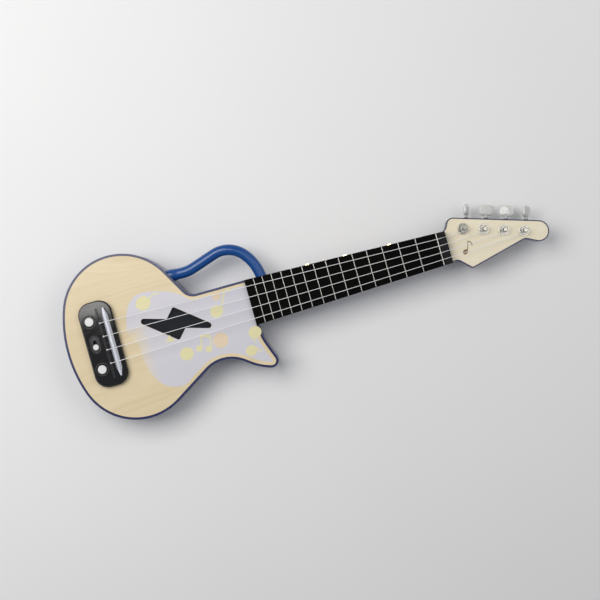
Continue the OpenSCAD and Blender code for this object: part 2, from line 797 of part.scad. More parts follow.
module speaker_grille() {
    color("#141416") from_butt() difference() {
        union() {
            translate([hole_x, 0, 0]) slab(round_path([
                [-50, 26, 4], [-50, -28, 4], [50, -28, 4], [50, -17, 4], [8, 27, 4]
            ]), under_z - 1.5, under_z);
            for (x = [-1, 1], y = [-1, 1])
                translate([speaker_c.x + x * speaker_hole, speaker_c.y + y * speaker_hole, 0])
                    rod(2.8, speaker_z + 1.5, under_z - 1);
        }
        for (i = [-6:6], j = [-2:2])
            if (abs(i * 6 + j * 3) < 38)
                translate([hole_x + i * 6 + 3 * (j % 2), j * 6 - i * 0.9, 0]) cylinder(r = 1.1, h = body_t, $fn = 16);
        speaker_pilots(1.1 + fit, speaker_z, under_z - 2);
    }
}

module speaker_pilots(r, low, high) {
    for (x = [-1, 1], y = [-1, 1])
        translate([speaker_c.x + x * speaker_hole, speaker_c.y + y * speaker_hole, 0]) rod(r, low, high);
}

module speaker_basket() {
    half = speaker_w / 2;
    color("gray") from_butt() difference() {
        union() {
            translate([speaker_c.x, speaker_c.y, 0]) {
                slab(round_path([[half, half, 5], [-half, half, 5], [-half, -half, 5], [half, -half, 5]]),
                    speaker_z, speaker_z + 1.5);
                translate([0, 0, speaker_z - 10]) cylinder(r1 = 13, r2 = half - 1.5, h = 10.5);
                rod(14, speaker_z - 20, speaker_z - 9.5);
            }
        }
        translate([speaker_c.x, speaker_c.y, speaker_z - 8]) cylinder(r1 = 11.5, r2 = half - 2.2, h = 9.6);
        speaker_pilots(1.3, speaker_z - eps, speaker_z + 2);
    }
}

module speaker_cone() {
    rim = speaker_w / 2 - 4;
    color("#202024") from_butt() translate([speaker_c.x, speaker_c.y, speaker_z]) difference() {
        union() {
            translate([0, 0, -7.5]) cylinder(r1 = 8, r2 = rim, h = 7.5);
            rod(rim, 0, 0.8);
        }
        translate([0, 0, -6.6]) cylinder(r1 = 7.4, r2 = rim - 1, h = 7.5);
    }
}

module speaker_screws() {
    color("silver") from_butt() for (x = [-1, 1], y = [-1, 1])
        translate([speaker_c.x + x * speaker_hole, speaker_c.y + y * speaker_hole, speaker_z]) screw(6, 1.1, 2.2, 1.5);
}

module main_board() {
    color("darkgreen") from_butt() difference() {
        union() {
            block([main_c.x - main_w / 2, main_c.y - main_l / 2, main_z], [main_c.x + main_w / 2, main_c.y + main_l / 2, main_top]);
            block([main_c.x - 8, main_c.y - 4, main_top - 0.1], [main_c.x + 6, main_c.y + 8, main_top + 1.6]);
            for (x = sockets)
                block([x - 4, socket_y, main_top - 0.1], [x + 4, socket_y + 5, main_top + 5]);
            block([main_c.x + main_w / 2 - 5, main_c.y - 4, main_top - 0.1], [main_c.x + main_w / 2, main_c.y + 4, main_top + 5]);
            for (x = [-16, 18])
                translate([main_c.x + x, main_c.y + 12, 0]) rod(3, main_top - 0.1, main_top + 8);
        }
        for (x = [-28, 28], y = [-16, 16])
            translate([main_c.x + x, main_c.y + y, 0]) rod(1.2, main_z - eps, main_top + eps);
    }
}

module standoffs() {
    color("ivory") from_butt() for (x = [-28, 28], y = [-16, 16])
        translate([main_c.x + x, main_c.y + y, 0]) difference() {
            rod(3, back_t, main_z);
            rod(1.1 + fit, back_t + 1, main_z + eps);
        }
}

// ---- Power ----

module door_block(grow, low, high) {
    block([tray_x - tray_w / 2 - grow, -tray_l / 2 - grow, low], [tray_x + tray_w / 2 + grow, tray_l / 2 + grow, high]);
}

module battery_tray() {
    half = tray_w / 2 - 1.5;
    color("#26262b") from_butt() difference() {
        union() {
            door_block(0, tray_low, tray_top);
            door_block(4, back_t, back_t + 1.5);
        }
        block([tray_x - half, -plate_y - 0.4, tray_low - eps], [tray_x + half, plate_y + 0.4, tray_top - 1.5]);
        for (s = [-1, 1])
            translate([tray_x, s * door_screw_y, 0]) rod(1.2 + fit, tray_low - eps, tray_low + 11);
    }
}

module batteries() {
    color("goldenrod") from_butt() for (i = [-1:1])
        translate([tray_x + i * cell_step, 0, cell_z]) rotate([i == 0 ? 90 : -90, 0, 0]) {
            translate([0, 0, -cell_l / 2]) cylinder(d = cell_d, h = cell_l - 1.2);
            cylinder(d = 5.5, h = cell_l / 2);
        }
}

// A contact plate at each end of each cell, with its conical spring
module battery_contacts() {
    spring = coil(2.8, cell_l / 2 + 0.4, plate_y - 0.4, 3, 0, 10);
    color("silver") from_butt() for (i = [-1:1], s = [-1, 1])
        translate([tray_x + i * cell_step, 0, cell_z]) rotate([-90 * s, 0, 0]) {
            block([-5, -5, plate_y], [5, 5, plate_y + 0.4]);
            sweep(spring, [for (p = spring) 0.35], 6);
        }
}

module battery_door() {
    color("midnightblue") from_butt() difference() {
        door_block(0, 0.2, tray_low);
        for (s = [-1, 1])
            translate([tray_x, s * door_screw_y, 0]) rod(1.3, 0, tray_low + eps);
        for (s = [-1, 1])
            translate([tray_x, s * door_screw_y, 0]) rod(2.5, 0, 1.4);
    }
}

module door_screws() {
    color("silver") from_butt() for (s = [-1, 1])
        translate([tray_x, s * door_screw_y, 1.4]) screw(10, 1.2, 2.3, 1);
}

// ---- Leads ----

module battery_lead() {
    color("red") from_butt() lead(battery_route);
}

module speaker_lead() {
    color("black") from_butt() lead(speaker_route);
}

module light_lead() {
    color("white") from_butt() lead(light_route);
}

module control_lead() {
    color("gray") from_butt() lead(control_route);
}

// ---- Tuners ----

module tuner_bushings() {
    color("silver") from_butt() for (i = [0:3])
        at_post(i) difference() {
            union() {
                rod(bushing_r, head_back, head_z + washer_t);
                rod(washer_r, head_z, head_z + washer_t);
            }
            rod(post_d / 2 + slip, head_back - eps, head_z + washer_t + eps);
        }
}

module tuner_housings() {
    low = head_back - housing_h;
    color("gainsboro") from_butt() for (i = [0:3])
        at_post(i) difference() {
            union() {
                block([-6.5, -8, low], [10.5, housing_n, head_back]);
                block([-12.5, -8, head_back - plate_t], [10.5, housing_n, head_back]);
                translate([worm_e, housing_n - eps, worm_z]) rotate([-90, 0, 0]) cylinder(r = 2.6, h = ferrule_n - housing_n + eps);
            }
            block([-5.3, -6.8, low + plate_t], [9.3, 7.8, head_back - plate_t]);
            rod(post_d / 2 + slip, head_back - plate_t - eps, head_back + eps);
            translate([worm_e, -6, worm_z]) rotate([-90, 0, 0]) cylinder(d = shaft_d + 2 * slip, h = 40);
            for (n = [-5, 6])
                translate([-9.5, n, 0]) rod(1.2, low, head_back + eps);
        }
}

module tuner_screws() {
    color("silver") from_butt() for (i = [0:3])
        at_post(i) for (n = [-5, 6])
            translate([-9.5, n, head_back - plate_t]) screw(8, 1.1, 2, 1.2);
}

// A post with its gear, which the worm turns by one tooth a turn
module post(i) {
    color("silver") from_butt() at_post(i) difference() {
        union() {
            rod(post_d / 2, head_back - housing_h + 1.6, head_z + post_h - 0.8);
            translate([0, 0, head_z + post_h - 0.8]) cylinder(d1 = post_d, d2 = post_d - 1.6, h = 0.8);
            slab([
                for (k = [0:gear_teeth - 1], s = [-0.34, -0.16, 0.16, 0.34])
                    (abs(s) > 0.2 ? gear_r - 0.6 : gear_r) * [cos(360 * (k + s) / gear_teeth), sin(360 * (k + s) / gear_teeth)]
            ], worm_z - 1.6, worm_z + 1.6);
        }
        translate([0, -10, head_z + post_h - 4]) rotate([-90, 0, 0]) cylinder(d = 1.6, h = 20, $fn = 24);
    }
}

module post_1() {
    post(0);
}

module post_2() {
    post(1);
}

module post_3() {
    post(2);
}

module post_4() {
    post(3);
}

// A worm on its shaft, which runs out through the housing to the knob
module worm(i) {
    color("silver") from_butt() at_post(i) translate([worm_e, 0, worm_z]) rotate([-90, 0, 0]) {
        rod(shaft_d / 2, -5.6, ferrule_n + free + knob_l / 2);
        rod(worm_r, -5, 5);
    }
}

module worm_1() {
    worm(0);
}

module worm_2() {
    worm(1);
}

module worm_3() {
    worm(2);
}

module worm_4() {
    worm(3);
}

// A flat, round-cornered tuning knob on a short hub, turned to its own angle
module knob(i) {
    half = knob_w / 2;
    color("ghostwhite") from_butt() at_post(i) translate([worm_e, ferrule_n + free, worm_z])
        rotate([-90, 0, 0]) rotate(knob_turn[i]) difference() {
            union() {
                rod(2.6, 0, 4);
                translate([0, knob_t / 2, 0]) rotate([90, 0, 0]) linear_extrude(knob_t)
                    polygon(round_path([
                        [-2.6, 0, 0.5], [2.6, 0, 0.5], [half, 3.4, 5], [half, knob_l, 6], [-half, knob_l, 6], [-half, 3.4, 5]
                    ]));
            }
            rod(shaft_d / 2 + fit, -eps, knob_l / 2);
        }
}

module knob_1() {
    knob(0);
}

module knob_2() {
    knob(1);
}

module knob_3() {
    knob(2);
}

module knob_4() {
    knob(3);
}

// ---- Strings ----

// One string: knot under the bridge's top, over saddle and zero fret, and turns round its post
module string(i) {
    r = string_d / 2;
    route = string_route(i);
    knot = [for (z = [-1.2, -0.7, 0.7, 1.2]) route[0] + [0, 0, z]];
    wound = [
        for (p = coil(coil_r, 0, -3.2 * string_d, 2.75, -90))
            [post_xy(i).x, post_xy(i).y, coil_z] + p
    ];
    path = concat(knot, [route[1], route[2], route[3]], wound);
    color("whitesmoke") from_butt() sweep(path, [for (k = [0:len(path) - 1]) k < 4 ? (k % 3 == 0 ? r : 1.3) : r]);
}

module string_1() {
    string(0);
}

module string_2() {
    string(1);
}

module string_3() {
    string(2);
}

module string_4() {
    string(3);
}

body_frame();
soundboard();
back_panel();
back_screws();
neck();
neck_screws();
fretboard();
frets();
zero_fret();
nut();
head_face();
light_pipes();
light_board();
lamps();
handle();
handle_screws();
bridge_housing();
saddle();
bridge_screws();
upper_button();
lower_button();
switch_knob();
slide_switch();
tact_switches();
control_board();
board_screws();
speaker_basket();
speaker_cone();
speaker_grille();
speaker_screws();
main_board();
standoffs();
battery_tray();
batteries();
battery_contacts();
battery_door();
door_screws();
battery_lead();
speaker_lead();
light_lead();
control_lead();
tuner_bushings();
tuner_housings();
tuner_screws();
post_1();
post_2();
post_3();
post_4();
worm_1();
worm_2();
worm_3();
worm_4();
knob_1();
knob_2();
knob_3();
knob_4();
string_1();
string_2();
string_3();
string_4();
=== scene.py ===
# %% [markdown]
# # A small four-string toy guitar with lights in its neck
#
# The instrument is a wooden box with a round bout, one horn, an arched carrying
# grip, a black bridge that holds push buttons, and four worm tuners. The sizes
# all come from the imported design, which is loaded first and never moved. This
# lesson adds what a design file leaves out: rounded edges, printed decoration,
# wire frets, wound strings, and a believable finish on every surface.

# %% Load the design
import json
import math

import bmesh
import bpy
import numpy as np
from mathutils import Matrix, Vector
from mathutils.geometry import tessellate_polygon

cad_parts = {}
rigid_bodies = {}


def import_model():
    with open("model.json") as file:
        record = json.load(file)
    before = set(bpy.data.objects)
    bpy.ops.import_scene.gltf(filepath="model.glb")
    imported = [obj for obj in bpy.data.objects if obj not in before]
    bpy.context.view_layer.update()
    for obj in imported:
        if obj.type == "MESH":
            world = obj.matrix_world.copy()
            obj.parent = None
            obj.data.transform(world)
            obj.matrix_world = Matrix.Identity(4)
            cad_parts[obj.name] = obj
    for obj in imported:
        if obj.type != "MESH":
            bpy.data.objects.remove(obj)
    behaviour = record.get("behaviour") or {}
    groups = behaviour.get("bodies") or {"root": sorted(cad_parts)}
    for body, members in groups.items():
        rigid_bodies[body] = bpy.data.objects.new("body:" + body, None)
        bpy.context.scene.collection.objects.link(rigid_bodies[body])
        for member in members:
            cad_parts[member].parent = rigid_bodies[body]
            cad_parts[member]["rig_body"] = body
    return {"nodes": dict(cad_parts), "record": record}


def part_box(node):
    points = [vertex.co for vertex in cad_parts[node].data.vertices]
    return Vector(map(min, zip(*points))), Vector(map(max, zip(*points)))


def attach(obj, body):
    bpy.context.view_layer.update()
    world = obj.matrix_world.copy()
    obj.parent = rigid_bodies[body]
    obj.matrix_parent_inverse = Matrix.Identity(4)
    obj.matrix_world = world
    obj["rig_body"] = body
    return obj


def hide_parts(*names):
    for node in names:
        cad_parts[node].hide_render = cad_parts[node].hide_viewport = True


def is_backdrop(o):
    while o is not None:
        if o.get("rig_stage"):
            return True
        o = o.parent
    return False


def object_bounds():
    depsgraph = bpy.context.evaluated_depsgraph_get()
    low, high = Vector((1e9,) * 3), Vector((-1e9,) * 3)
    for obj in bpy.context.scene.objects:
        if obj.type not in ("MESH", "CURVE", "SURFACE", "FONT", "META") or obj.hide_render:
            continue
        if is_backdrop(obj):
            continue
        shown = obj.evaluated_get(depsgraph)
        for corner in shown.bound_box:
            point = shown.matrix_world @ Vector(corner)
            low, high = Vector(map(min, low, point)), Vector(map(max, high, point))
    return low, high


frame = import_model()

scene = bpy.context.scene
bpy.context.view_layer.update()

# %% [markdown]
# ## Camera
#
# The instrument lies on its back and the camera looks straight down on it. The
# strings run uphill to the right, so the camera is turned about its own axis.
# It stands a metre and a half above the face, so the tuning knobs, far below
# the face, look pulled in a little towards the middle of the view.

# %% Camera
MM = 0.001
FACE_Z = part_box("soundboard")[1].z
CAMERA_TO_FACE = 1.5
CAMERA_XY = (-0.0139, -0.0142)
HALF_VIEW = 0.393
TILT = math.radians(-15.65)

eye = bpy.data.cameras.new("eye")
eye.angle = 2 * math.atan(HALF_VIEW / CAMERA_TO_FACE)
camera = bpy.data.objects.new("camera", eye)
camera.location = (*CAMERA_XY, FACE_Z + CAMERA_TO_FACE)
camera.rotation_euler = (0, 0, TILT)
scene.collection.objects.link(camera)
scene.camera = camera
print("camera height", round(camera.location.z, 3))

# %% [markdown]
# ## Building blocks
#
# A shader or geometry tree is quicker to read when one short call makes a node,
# sets it and links it. The same helper serves both kinds of tree.

# %% Helper: one call for one node
def node(tree, kind, inputs=None, **settings):
    made = tree.nodes.new(kind)
    for key, value in settings.items():
        setattr(made, key, value)
    for key, value in (inputs or {}).items():
        if isinstance(value, bpy.types.NodeSocket):
            tree.links.new(value, made.inputs[key])
        else:
            made.inputs[key].default_value = value
    return made


def paint_chart(red, green, blue):
    """A colour as a paint chart gives it, 0 to 255, in the linear light that shaders use."""
    parts = [c / 255 for c in (red, green, blue)]
    return (*[c / 12.92 if c < 0.04045 else ((c + 0.055) / 1.055) ** 2.4 for c in parts], 1)


def new_group(name, inputs, outputs):
    """An empty shader group with named sockets; returns the tree, its inputs and its output node."""
    tree = bpy.data.node_groups.new(name, "ShaderNodeTree")
    for title, kind, value in inputs:
        socket = tree.interface.new_socket(title, in_out="INPUT", socket_type="NodeSocket" + kind)
        socket.default_value = value
    for title, kind in outputs:
        tree.interface.new_socket(title, in_out="OUTPUT", socket_type="NodeSocket" + kind)
    entry = tree.nodes.new("NodeGroupInput").outputs
    return tree, entry, tree.nodes.new("NodeGroupOutput").inputs


def math_of(tree, operation, a, b=0.0, clamp=False):
    return node(tree, "ShaderNodeMath", {0: a, 1: b}, operation=operation, use_clamp=clamp).outputs[0]


def place_in(tree):
    """The point's place on its own object, so a pattern moves with the part."""
    return node(tree, "ShaderNodeTexCoord").outputs["Object"]


def noise_of(tree, vector, scale, detail, **more):
    inputs = {"Vector": vector, "Scale": scale, "Detail": detail, **more}
    return node(tree, "ShaderNodeTexNoise", inputs).outputs["Fac"]


def ramp_of(tree, value, low, high, smooth=False):
    """0 where value is low, 1 where it is high, and held outside them."""
    kind = "SMOOTHSTEP" if smooth else "LINEAR"
    inputs = {"Value": value, "From Min": low, "From Max": high}
    return node(tree, "ShaderNodeMapRange", inputs, interpolation_type=kind).outputs[0]


def blend_of(tree, share, first, second):
    return node(tree, "ShaderNodeMix", {0: share, 6: first, 7: second}, data_type="RGBA").outputs[2]


print("helpers ready")

# %% [markdown]
# ## Surface effects that several finishes share
#
# Wood grain, worn edges, handling marks and the faint texture of moulded plastic
# turn up on many parts. Each is one node group, so its look is set in one place
# and every finish only chooses its own amounts. A group gives out colours and
# masks; the shader itself stays in the material.

# %% Group: wood grain
def make_wood_grain():
    tree, entry, leave = new_group(
        "Wood grain",
        [("Pale", "Color", (0.8, 0.7, 0.5, 1)), ("Deep", "Color", (0.6, 0.5, 0.3, 1)),
         ("Scale", "Float", 20.0), ("Contrast", "Float", 0.5)],
        [("Colour", "Color"), ("Height", "Float"), ("Pores", "Float")],
    )
    place = place_in(tree)
    long_way = node(tree, "ShaderNodeMapping", {"Vector": place, "Scale": (0.16, 1.0, 1.0)}).outputs[0]
    wander = noise_of(tree, long_way, 9.0, 2.0)
    bent = node(tree, "ShaderNodeVectorMath", {0: long_way, 1: wander}, operation="ADD").outputs[0]
    bands = noise_of(tree, bent, entry["Scale"], 6.0, Roughness=0.62, Distortion=0.4)
    fine_way = node(tree, "ShaderNodeMapping", {"Vector": place, "Scale": (0.05, 1.0, 1.0)}).outputs[0]
    pores = noise_of(tree, fine_way, 900.0, 2.0)
    pore_mask = ramp_of(tree, pores, 0.56, 0.72, smooth=True)
    spread = ramp_of(tree, bands, 0.32, 0.7)
    amount = math_of(tree, "MULTIPLY", spread, entry["Contrast"], clamp=True)
    with_pores = math_of(tree, "ADD", amount, math_of(tree, "MULTIPLY", pore_mask, 0.16), clamp=True)
    tree.links.new(blend_of(tree, with_pores, entry["Pale"], entry["Deep"]), leave["Colour"])
    tree.links.new(math_of(tree, "SUBTRACT", math_of(tree, "MULTIPLY", bands, 0.4), pore_mask), leave["Height"])
    tree.links.new(pore_mask, leave["Pores"])
    return tree


WOOD_GRAIN = make_wood_grain()
print("wood grain nodes:", len(WOOD_GRAIN.nodes))

# %% Group: worn edges
def make_edge_wear():
    """White where an edge is sharp, broken up by noise: the rounded normal against the true one."""
    tree, entry, leave = new_group(
        "Edge wear",
        [("Reach", "Float", 0.0006), ("Strength", "Float", 1.0), ("Breakup", "Float", 260.0)],
        [("Mask", "Float")],
    )
    rounded = node(tree, "ShaderNodeBevel", {"Radius": entry["Reach"]}, samples=4).outputs[0]
    flat = node(tree, "ShaderNodeNewGeometry").outputs["Normal"]
    agree = node(tree, "ShaderNodeVectorMath", {0: rounded, 1: flat}, operation="DOT_PRODUCT").outputs["Value"]
    edge = ramp_of(tree, agree, 0.985, 0.86)
    place = place_in(tree)
    patch = noise_of(tree, place, entry["Breakup"], 4.0)
    broken = ramp_of(tree, patch, 0.48, 0.66)
    mask = math_of(tree, "MULTIPLY", math_of(tree, "MULTIPLY", edge, broken), entry["Strength"], clamp=True)
    tree.links.new(mask, leave["Mask"])
    return tree


EDGE_WEAR = make_edge_wear()

# %% Group: handling marks
def make_handling():
    """Finger marks and hairline scratches, which change how rough a surface is and not its colour."""
    tree, entry, leave = new_group(
        "Handling marks",
        [("Roughness", "Float", 0.3), ("Smears", "Float", 0.1), ("Scratches", "Float", 0.1)],
        [("Roughness", "Float"), ("Scratch", "Float")],
    )
    place = place_in(tree)
    smear = noise_of(tree, place, 38.0, 4.0, Distortion=1.2)
    hair_way = node(tree, "ShaderNodeMapping", {
        "Vector": place, "Rotation": (0, 0, 0.5), "Scale": (0.03, 1.0, 1.0),
    }).outputs[0]
    hair = noise_of(tree, hair_way, 1400.0, 0.0)
    scratch = ramp_of(tree, hair, 0.71, 0.75)
    lift = math_of(tree, "MULTIPLY", math_of(tree, "SUBTRACT", smear, 0.5), entry["Smears"])
    marks = math_of(tree, "MULTIPLY", scratch, entry["Scratches"])
    total = math_of(tree, "ADD", math_of(tree, "ADD", entry["Roughness"], lift), marks, clamp=True)
    tree.links.new(total, leave["Roughness"])
    tree.links.new(scratch, leave["Scratch"])
    return tree


HANDLING = make_handling()

# %% Group: fine surface texture
def make_fine_texture():
    """Spray-paint ripple and moulding grain: two sizes of noise added into one height."""
    tree, entry, leave = new_group(
        "Fine texture",
        [("Ripple Scale", "Float", 220.0), ("Grain Scale", "Float", 2600.0), ("Grain", "Float", 0.3)],
        [("Height", "Float"), ("Tint", "Float")],
    )
    place = place_in(tree)
    ripple = noise_of(tree, place, entry["Ripple Scale"], 1.0)
    grain = noise_of(tree, place, entry["Grain Scale"], 2.0)
    height = math_of(tree, "ADD", ripple, math_of(tree, "MULTIPLY", grain, entry["Grain"]))
    tree.links.new(height, leave["Height"])
    broad = noise_of(tree, place, 14.0, 3.0)
    tree.links.new(broad, leave["Tint"])
    return tree


FINE_TEXTURE = make_fine_texture()
print("shared groups:", [g.name for g in bpy.data.node_groups])

# %% [markdown]
# ## Finishes
#
# Every finish starts from the same recipe: a base colour that drifts slightly
# from place to place, edges that show what lies under the paint, roughness with
# handling marks, and a bump. A dictionary of sockets sets what stays the same
# all over, straight on the shader.

# %% Recipe for a finish
FINISHES = {}


def group_node(tree, group, inputs):
    return node(tree, "ShaderNodeGroup", inputs, node_tree=group).outputs


def surface(tree, shader, colour, roughness, smears, scratches):
    """What every finish needs: a colour, and a roughness with handling marks."""
    marks = group_node(tree, HANDLING, {"Roughness": roughness, "Smears": smears, "Scratches": scratches})
    tree.links.new(colour, shader.inputs["Base Color"])
    tree.links.new(marks["Roughness"], shader.inputs["Roughness"])


def start_finish(name, constants):
    finish = bpy.data.materials.new(name)
    finish.use_nodes = True
    tree = finish.node_tree
    shader = tree.nodes["Principled BSDF"]
    for key, value in constants.items():
        shader.inputs[key].default_value = value
    FINISHES[name] = finish
    return tree, shader


def bump_into(tree, shader, height, distance, strength=1.0):
    lift = node(tree, "ShaderNodeBump", {"Height": height, "Distance": distance, "Strength": strength})
    tree.links.new(lift.outputs[0], shader.inputs["Normal"])


def coated(name, colour, shade, worn, roughness, wear=0.6, ripple=220.0, grain=0.25, depth=0.00002,
           smears=0.12, scratches=0.1, reach=0.0006, constants=None):
    """Paint or moulded plastic: colour drifts to shade, and worn shows through on the edges."""
    tree, shader = start_finish(name, constants or {})
    fine = group_node(tree, FINE_TEXTURE, {"Ripple Scale": ripple, "Grain": grain})
    rub = group_node(tree, EDGE_WEAR, {"Strength": wear, "Reach": reach})
    drift = blend_of(tree, fine["Tint"], paint_chart(*colour), paint_chart(*shade))
    shown = blend_of(tree, rub["Mask"], drift, paint_chart(*worn))
    surface(tree, shader, shown, roughness, smears, scratches)
    bump_into(tree, shader, fine["Height"], depth)
    return FINISHES[name]


print("recipe ready")

# %% [markdown]
# ### Paint and plastic
#
# The frame and neck are sprayed navy over beech, so rubbed edges turn a dusty
# lighter blue. The grip is a brighter blue gloss. The bridge is black moulded
# plastic, glossy enough to mirror a window. Buttons are white, knobs milky.

# %% Paint and plastic
coated("navy_paint", (22, 36, 98), (16, 28, 78), (74, 92, 150), 0.28, wear=0.5,
       constants={"Coat Weight": 0.35, "Coat Roughness": 0.18, "Specular IOR Level": 0.5})
coated("blue_paint", (8, 82, 156), (4, 66, 136), (84, 146, 200), 0.24, wear=0.4, depth=0.00003,
       constants={"Coat Weight": 0.4, "Coat Roughness": 0.1})
coated("fretboard_black", (14, 13, 12), (7, 7, 7), (36, 32, 28), 0.45, wear=0.4, ripple=700.0, grain=0.6,
       depth=0.00003, constants={"Specular IOR Level": 0.03})
coated("black_plastic", (14, 14, 16), (9, 9, 10), (40, 40, 44), 0.07, wear=0.25, ripple=120.0, grain=0.1,
       depth=0.000012, constants={"Specular IOR Level": 0.8})
# This grey is the slider track's plate. On the beads round the bridge's openings it is a painted highlight,
# lighter than the black housing.
coated("grey_plastic_and_painted_highlight", (64, 64, 70), (54, 54, 58), (96, 96, 104), 0.16, wear=0.3, ripple=120.0, grain=0.1)
coated("white_plastic", (240, 240, 238), (230, 231, 230), (250, 250, 248), 0.24, wear=0.3,
       constants={"Coat Weight": 0.3, "Coat Roughness": 0.1})
coated("lead_cover", (34, 34, 38), (22, 22, 26), (60, 60, 64), 0.5, wear=0.2)
coated("cell_sleeve", (196, 200, 206), (150, 156, 166), (220, 222, 226), 0.3, wear=0.3,
       constants={"Metallic": 0.4})
coated("speaker_paper", (30, 28, 28), (22, 21, 21), (52, 50, 48), 0.85, wear=0.3, ripple=900.0, grain=1.0,
       depth=0.00008)
coated("speaker_metal", (96, 98, 102), (78, 80, 84), (150, 152, 156), 0.4, wear=0.6,
       constants={"Metallic": 0.9})
print("paint and plastic:", len(FINISHES))

# %% [markdown]
# ### Wood
#
# The soundboard is pale ply under a thin satin lacquer. Its grain runs with the
# strings and is faint. The headstock's facing is the same wood, painted a little
# paler: painted light that makes up for the weaker light at the headstock's end.

# %% Wood
def lacquered_wood(name, pale, deep, scale, contrast, roughness):
    tree, shader = start_finish(name, {"Coat Weight": 0.25, "Coat Roughness": 0.2, "Specular IOR Level": 0.4})
    grain = group_node(tree, WOOD_GRAIN, {
        "Pale": paint_chart(*pale), "Deep": paint_chart(*deep), "Scale": scale, "Contrast": contrast,
    })
    surface(tree, shader, grain["Colour"], roughness, 0.12, 0.06)
    bump_into(tree, shader, grain["Height"], 0.00004, 0.6)
    return FINISHES[name]


lacquered_wood("pale_ply", (238, 221, 184), (218, 195, 150), 26.0, 0.55, 0.4)
# Painted light: the headstock's copy of the same wood is paler, to make up for the weaker light far from the key
# lamp.
lacquered_wood("head_ply_painted_light", (253, 244, 219), (238, 222, 186), 22.0, 0.45, 0.4)
print("woods ready")

# %% [markdown]
# ### Metal
#
# Four metals differ in how they were finished: polished chrome posts, bright
# nickel frets, a satin saddle brushed along its length, and plain steel screws
# with turning marks. Brushing is noise stretched a hundredfold along one axis.

# %% Metal
def brushed_metal(name, colour, roughness, stretch, depth, tarnish=0.12):
    tree, shader = start_finish(name, {"Metallic": 1.0})
    place = place_in(tree)
    way = node(tree, "ShaderNodeMapping", {"Vector": place, "Scale": stretch}).outputs[0]
    lines = noise_of(tree, way, 2200.0, 3.0)
    dull = noise_of(tree, place, 90.0, 4.0)
    faded = tuple(c * (1 - tarnish * 2) for c in paint_chart(*colour)[:3]) + (1,)
    tone = blend_of(tree, dull, paint_chart(*colour), faded)
    surface(tree, shader, tone, roughness, 0.1, 0.12)
    bump_into(tree, shader, lines, depth)
    return FINISHES[name]


brushed_metal("chrome", (222, 218, 206), 0.1, (1, 1, 1), 0.000002)
brushed_metal("nickel", (214, 212, 206), 0.2, (1, 0.02, 1), 0.000006)
brushed_metal("satin_silver", (196, 199, 208), 0.42, (1, 0.01, 1), 0.00001)
brushed_metal("steel", (184, 186, 190), 0.28, (1, 1, 1), 0.000008)
print("metals ready")

# %% [markdown]
# ### Milky, clear and glowing plastic
#
# The knobs are cast in pearly plastic: light enters, scatters and comes out
# again, with soft swirls. The strings are nylon, whiter and tighter. The light
# pipes are clear rods lit from inside by small lamps, so they give light.

# %% Translucent plastics
def milky(name, colour, swirl_colour, swirl, roughness, depth_of_light):
    tree, shader = start_finish(name, {
        "Subsurface Weight": 0.55, "Subsurface Radius": (1.0, 0.95, 0.85), "Subsurface Scale": depth_of_light,
        "Coat Weight": 0.5, "Coat Roughness": 0.08,
    })
    place = place_in(tree)
    clouds = noise_of(tree, place, swirl, 3.0, Distortion=2.5)
    tone = blend_of(tree, clouds, paint_chart(*colour), paint_chart(*swirl_colour))
    surface(tree, shader, tone, roughness, 0.1, 0.05)
    fine = group_node(tree, FINE_TEXTURE, {"Ripple Scale": 300.0, "Grain": 0.1})
    bump_into(tree, shader, fine["Height"], 0.00001)
    return FINISHES[name]


milky("pearl_plastic", (236, 236, 230), (208, 212, 210), 90.0, 0.16, 0.003)
milky("nylon", (255, 255, 254), (244, 246, 248), 400.0, 0.25, 0.0004)


def lit_plastic(name, colour, glow, strength):
    tree, shader = start_finish(name, {"Emission Strength": strength, "Transmission Weight": 0.3, "IOR": 1.46})
    place = place_in(tree)
    patch = noise_of(tree, place, 500.0, 2.0)
    tone = blend_of(tree, patch, paint_chart(*glow), paint_chart(*colour))
    surface(tree, shader, tone, 0.18, 0.1, 0.0)
    tree.links.new(tone, shader.inputs["Emission Color"])
    return FINISHES[name]


lit_plastic("clear_plastic", (255, 250, 214), (255, 232, 120), 6.0)
print("translucent plastics ready")

# %% Circuit board
def make_circuit_board():
    """Green mask over copper: straight tracks from a stretched checker, and bright round pads."""
    tree, shader = start_finish("circuit_board", {"Coat Weight": 0.3, "Coat Roughness": 0.2})
    place = place_in(tree)
    cells = node(tree, "ShaderNodeTexVoronoi", {"Vector": place, "Scale": 330.0, "Randomness": 0.25})
    pad = ramp_of(tree, cells.outputs["Distance"], 0.16, 0.13)
    track = node(tree, "ShaderNodeTexBrick", {
        "Vector": place, "Scale": 90.0, "Mortar Size": 0.03, "Color1": paint_chart(18, 92, 52),
        "Color2": paint_chart(14, 80, 46), "Mortar": paint_chart(48, 138, 84),
    })
    tone = blend_of(tree, pad, track.outputs["Color"], paint_chart(206, 198, 160))
    surface(tree, shader, tone, 0.35, 0.1, 0.0)
    bump_into(tree, shader, track.outputs["Fac"], 0.00003)


make_circuit_board()
print("finishes:", sorted(FINISHES))

# %% [markdown]
# ## Rounded copies of machined parts
#
# Most parts are routed, turned or moulded, and the design already has their
# shape. What it lacks is the small rounding that catches the light. A copy of
# the part's mesh is welded, its flat areas are joined into single faces, and a
# bevel rounds only the sharp edges. Modelling each part again would give the
# same result with more chances to drift from the design.

# %% Helper: a rounded copy
BODY_OF = {name: part["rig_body"] for name, part in frame["nodes"].items()}
PIECES = []


def welded(part):
    """An editable copy of a design part's mesh, with doubled corners joined."""
    grid = bmesh.new()
    grid.from_mesh(frame["nodes"][part].data)
    bmesh.ops.remove_doubles(grid, verts=grid.verts, dist=1e-6)
    return grid


def to_mesh(grid, name):
    mesh = bpy.data.meshes.new(name)
    grid.to_mesh(mesh)
    grid.free()
    return mesh


def link_piece(name, mesh, finish, body, replaced=()):
    piece = bpy.data.objects.new(name, mesh)
    scene.collection.objects.link(piece)
    if finish:
        mesh.materials.clear()
        mesh.materials.append(FINISHES[finish])
    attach(piece, body)
    if replaced:
        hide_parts(*replaced)
    PIECES.append(piece)
    return piece


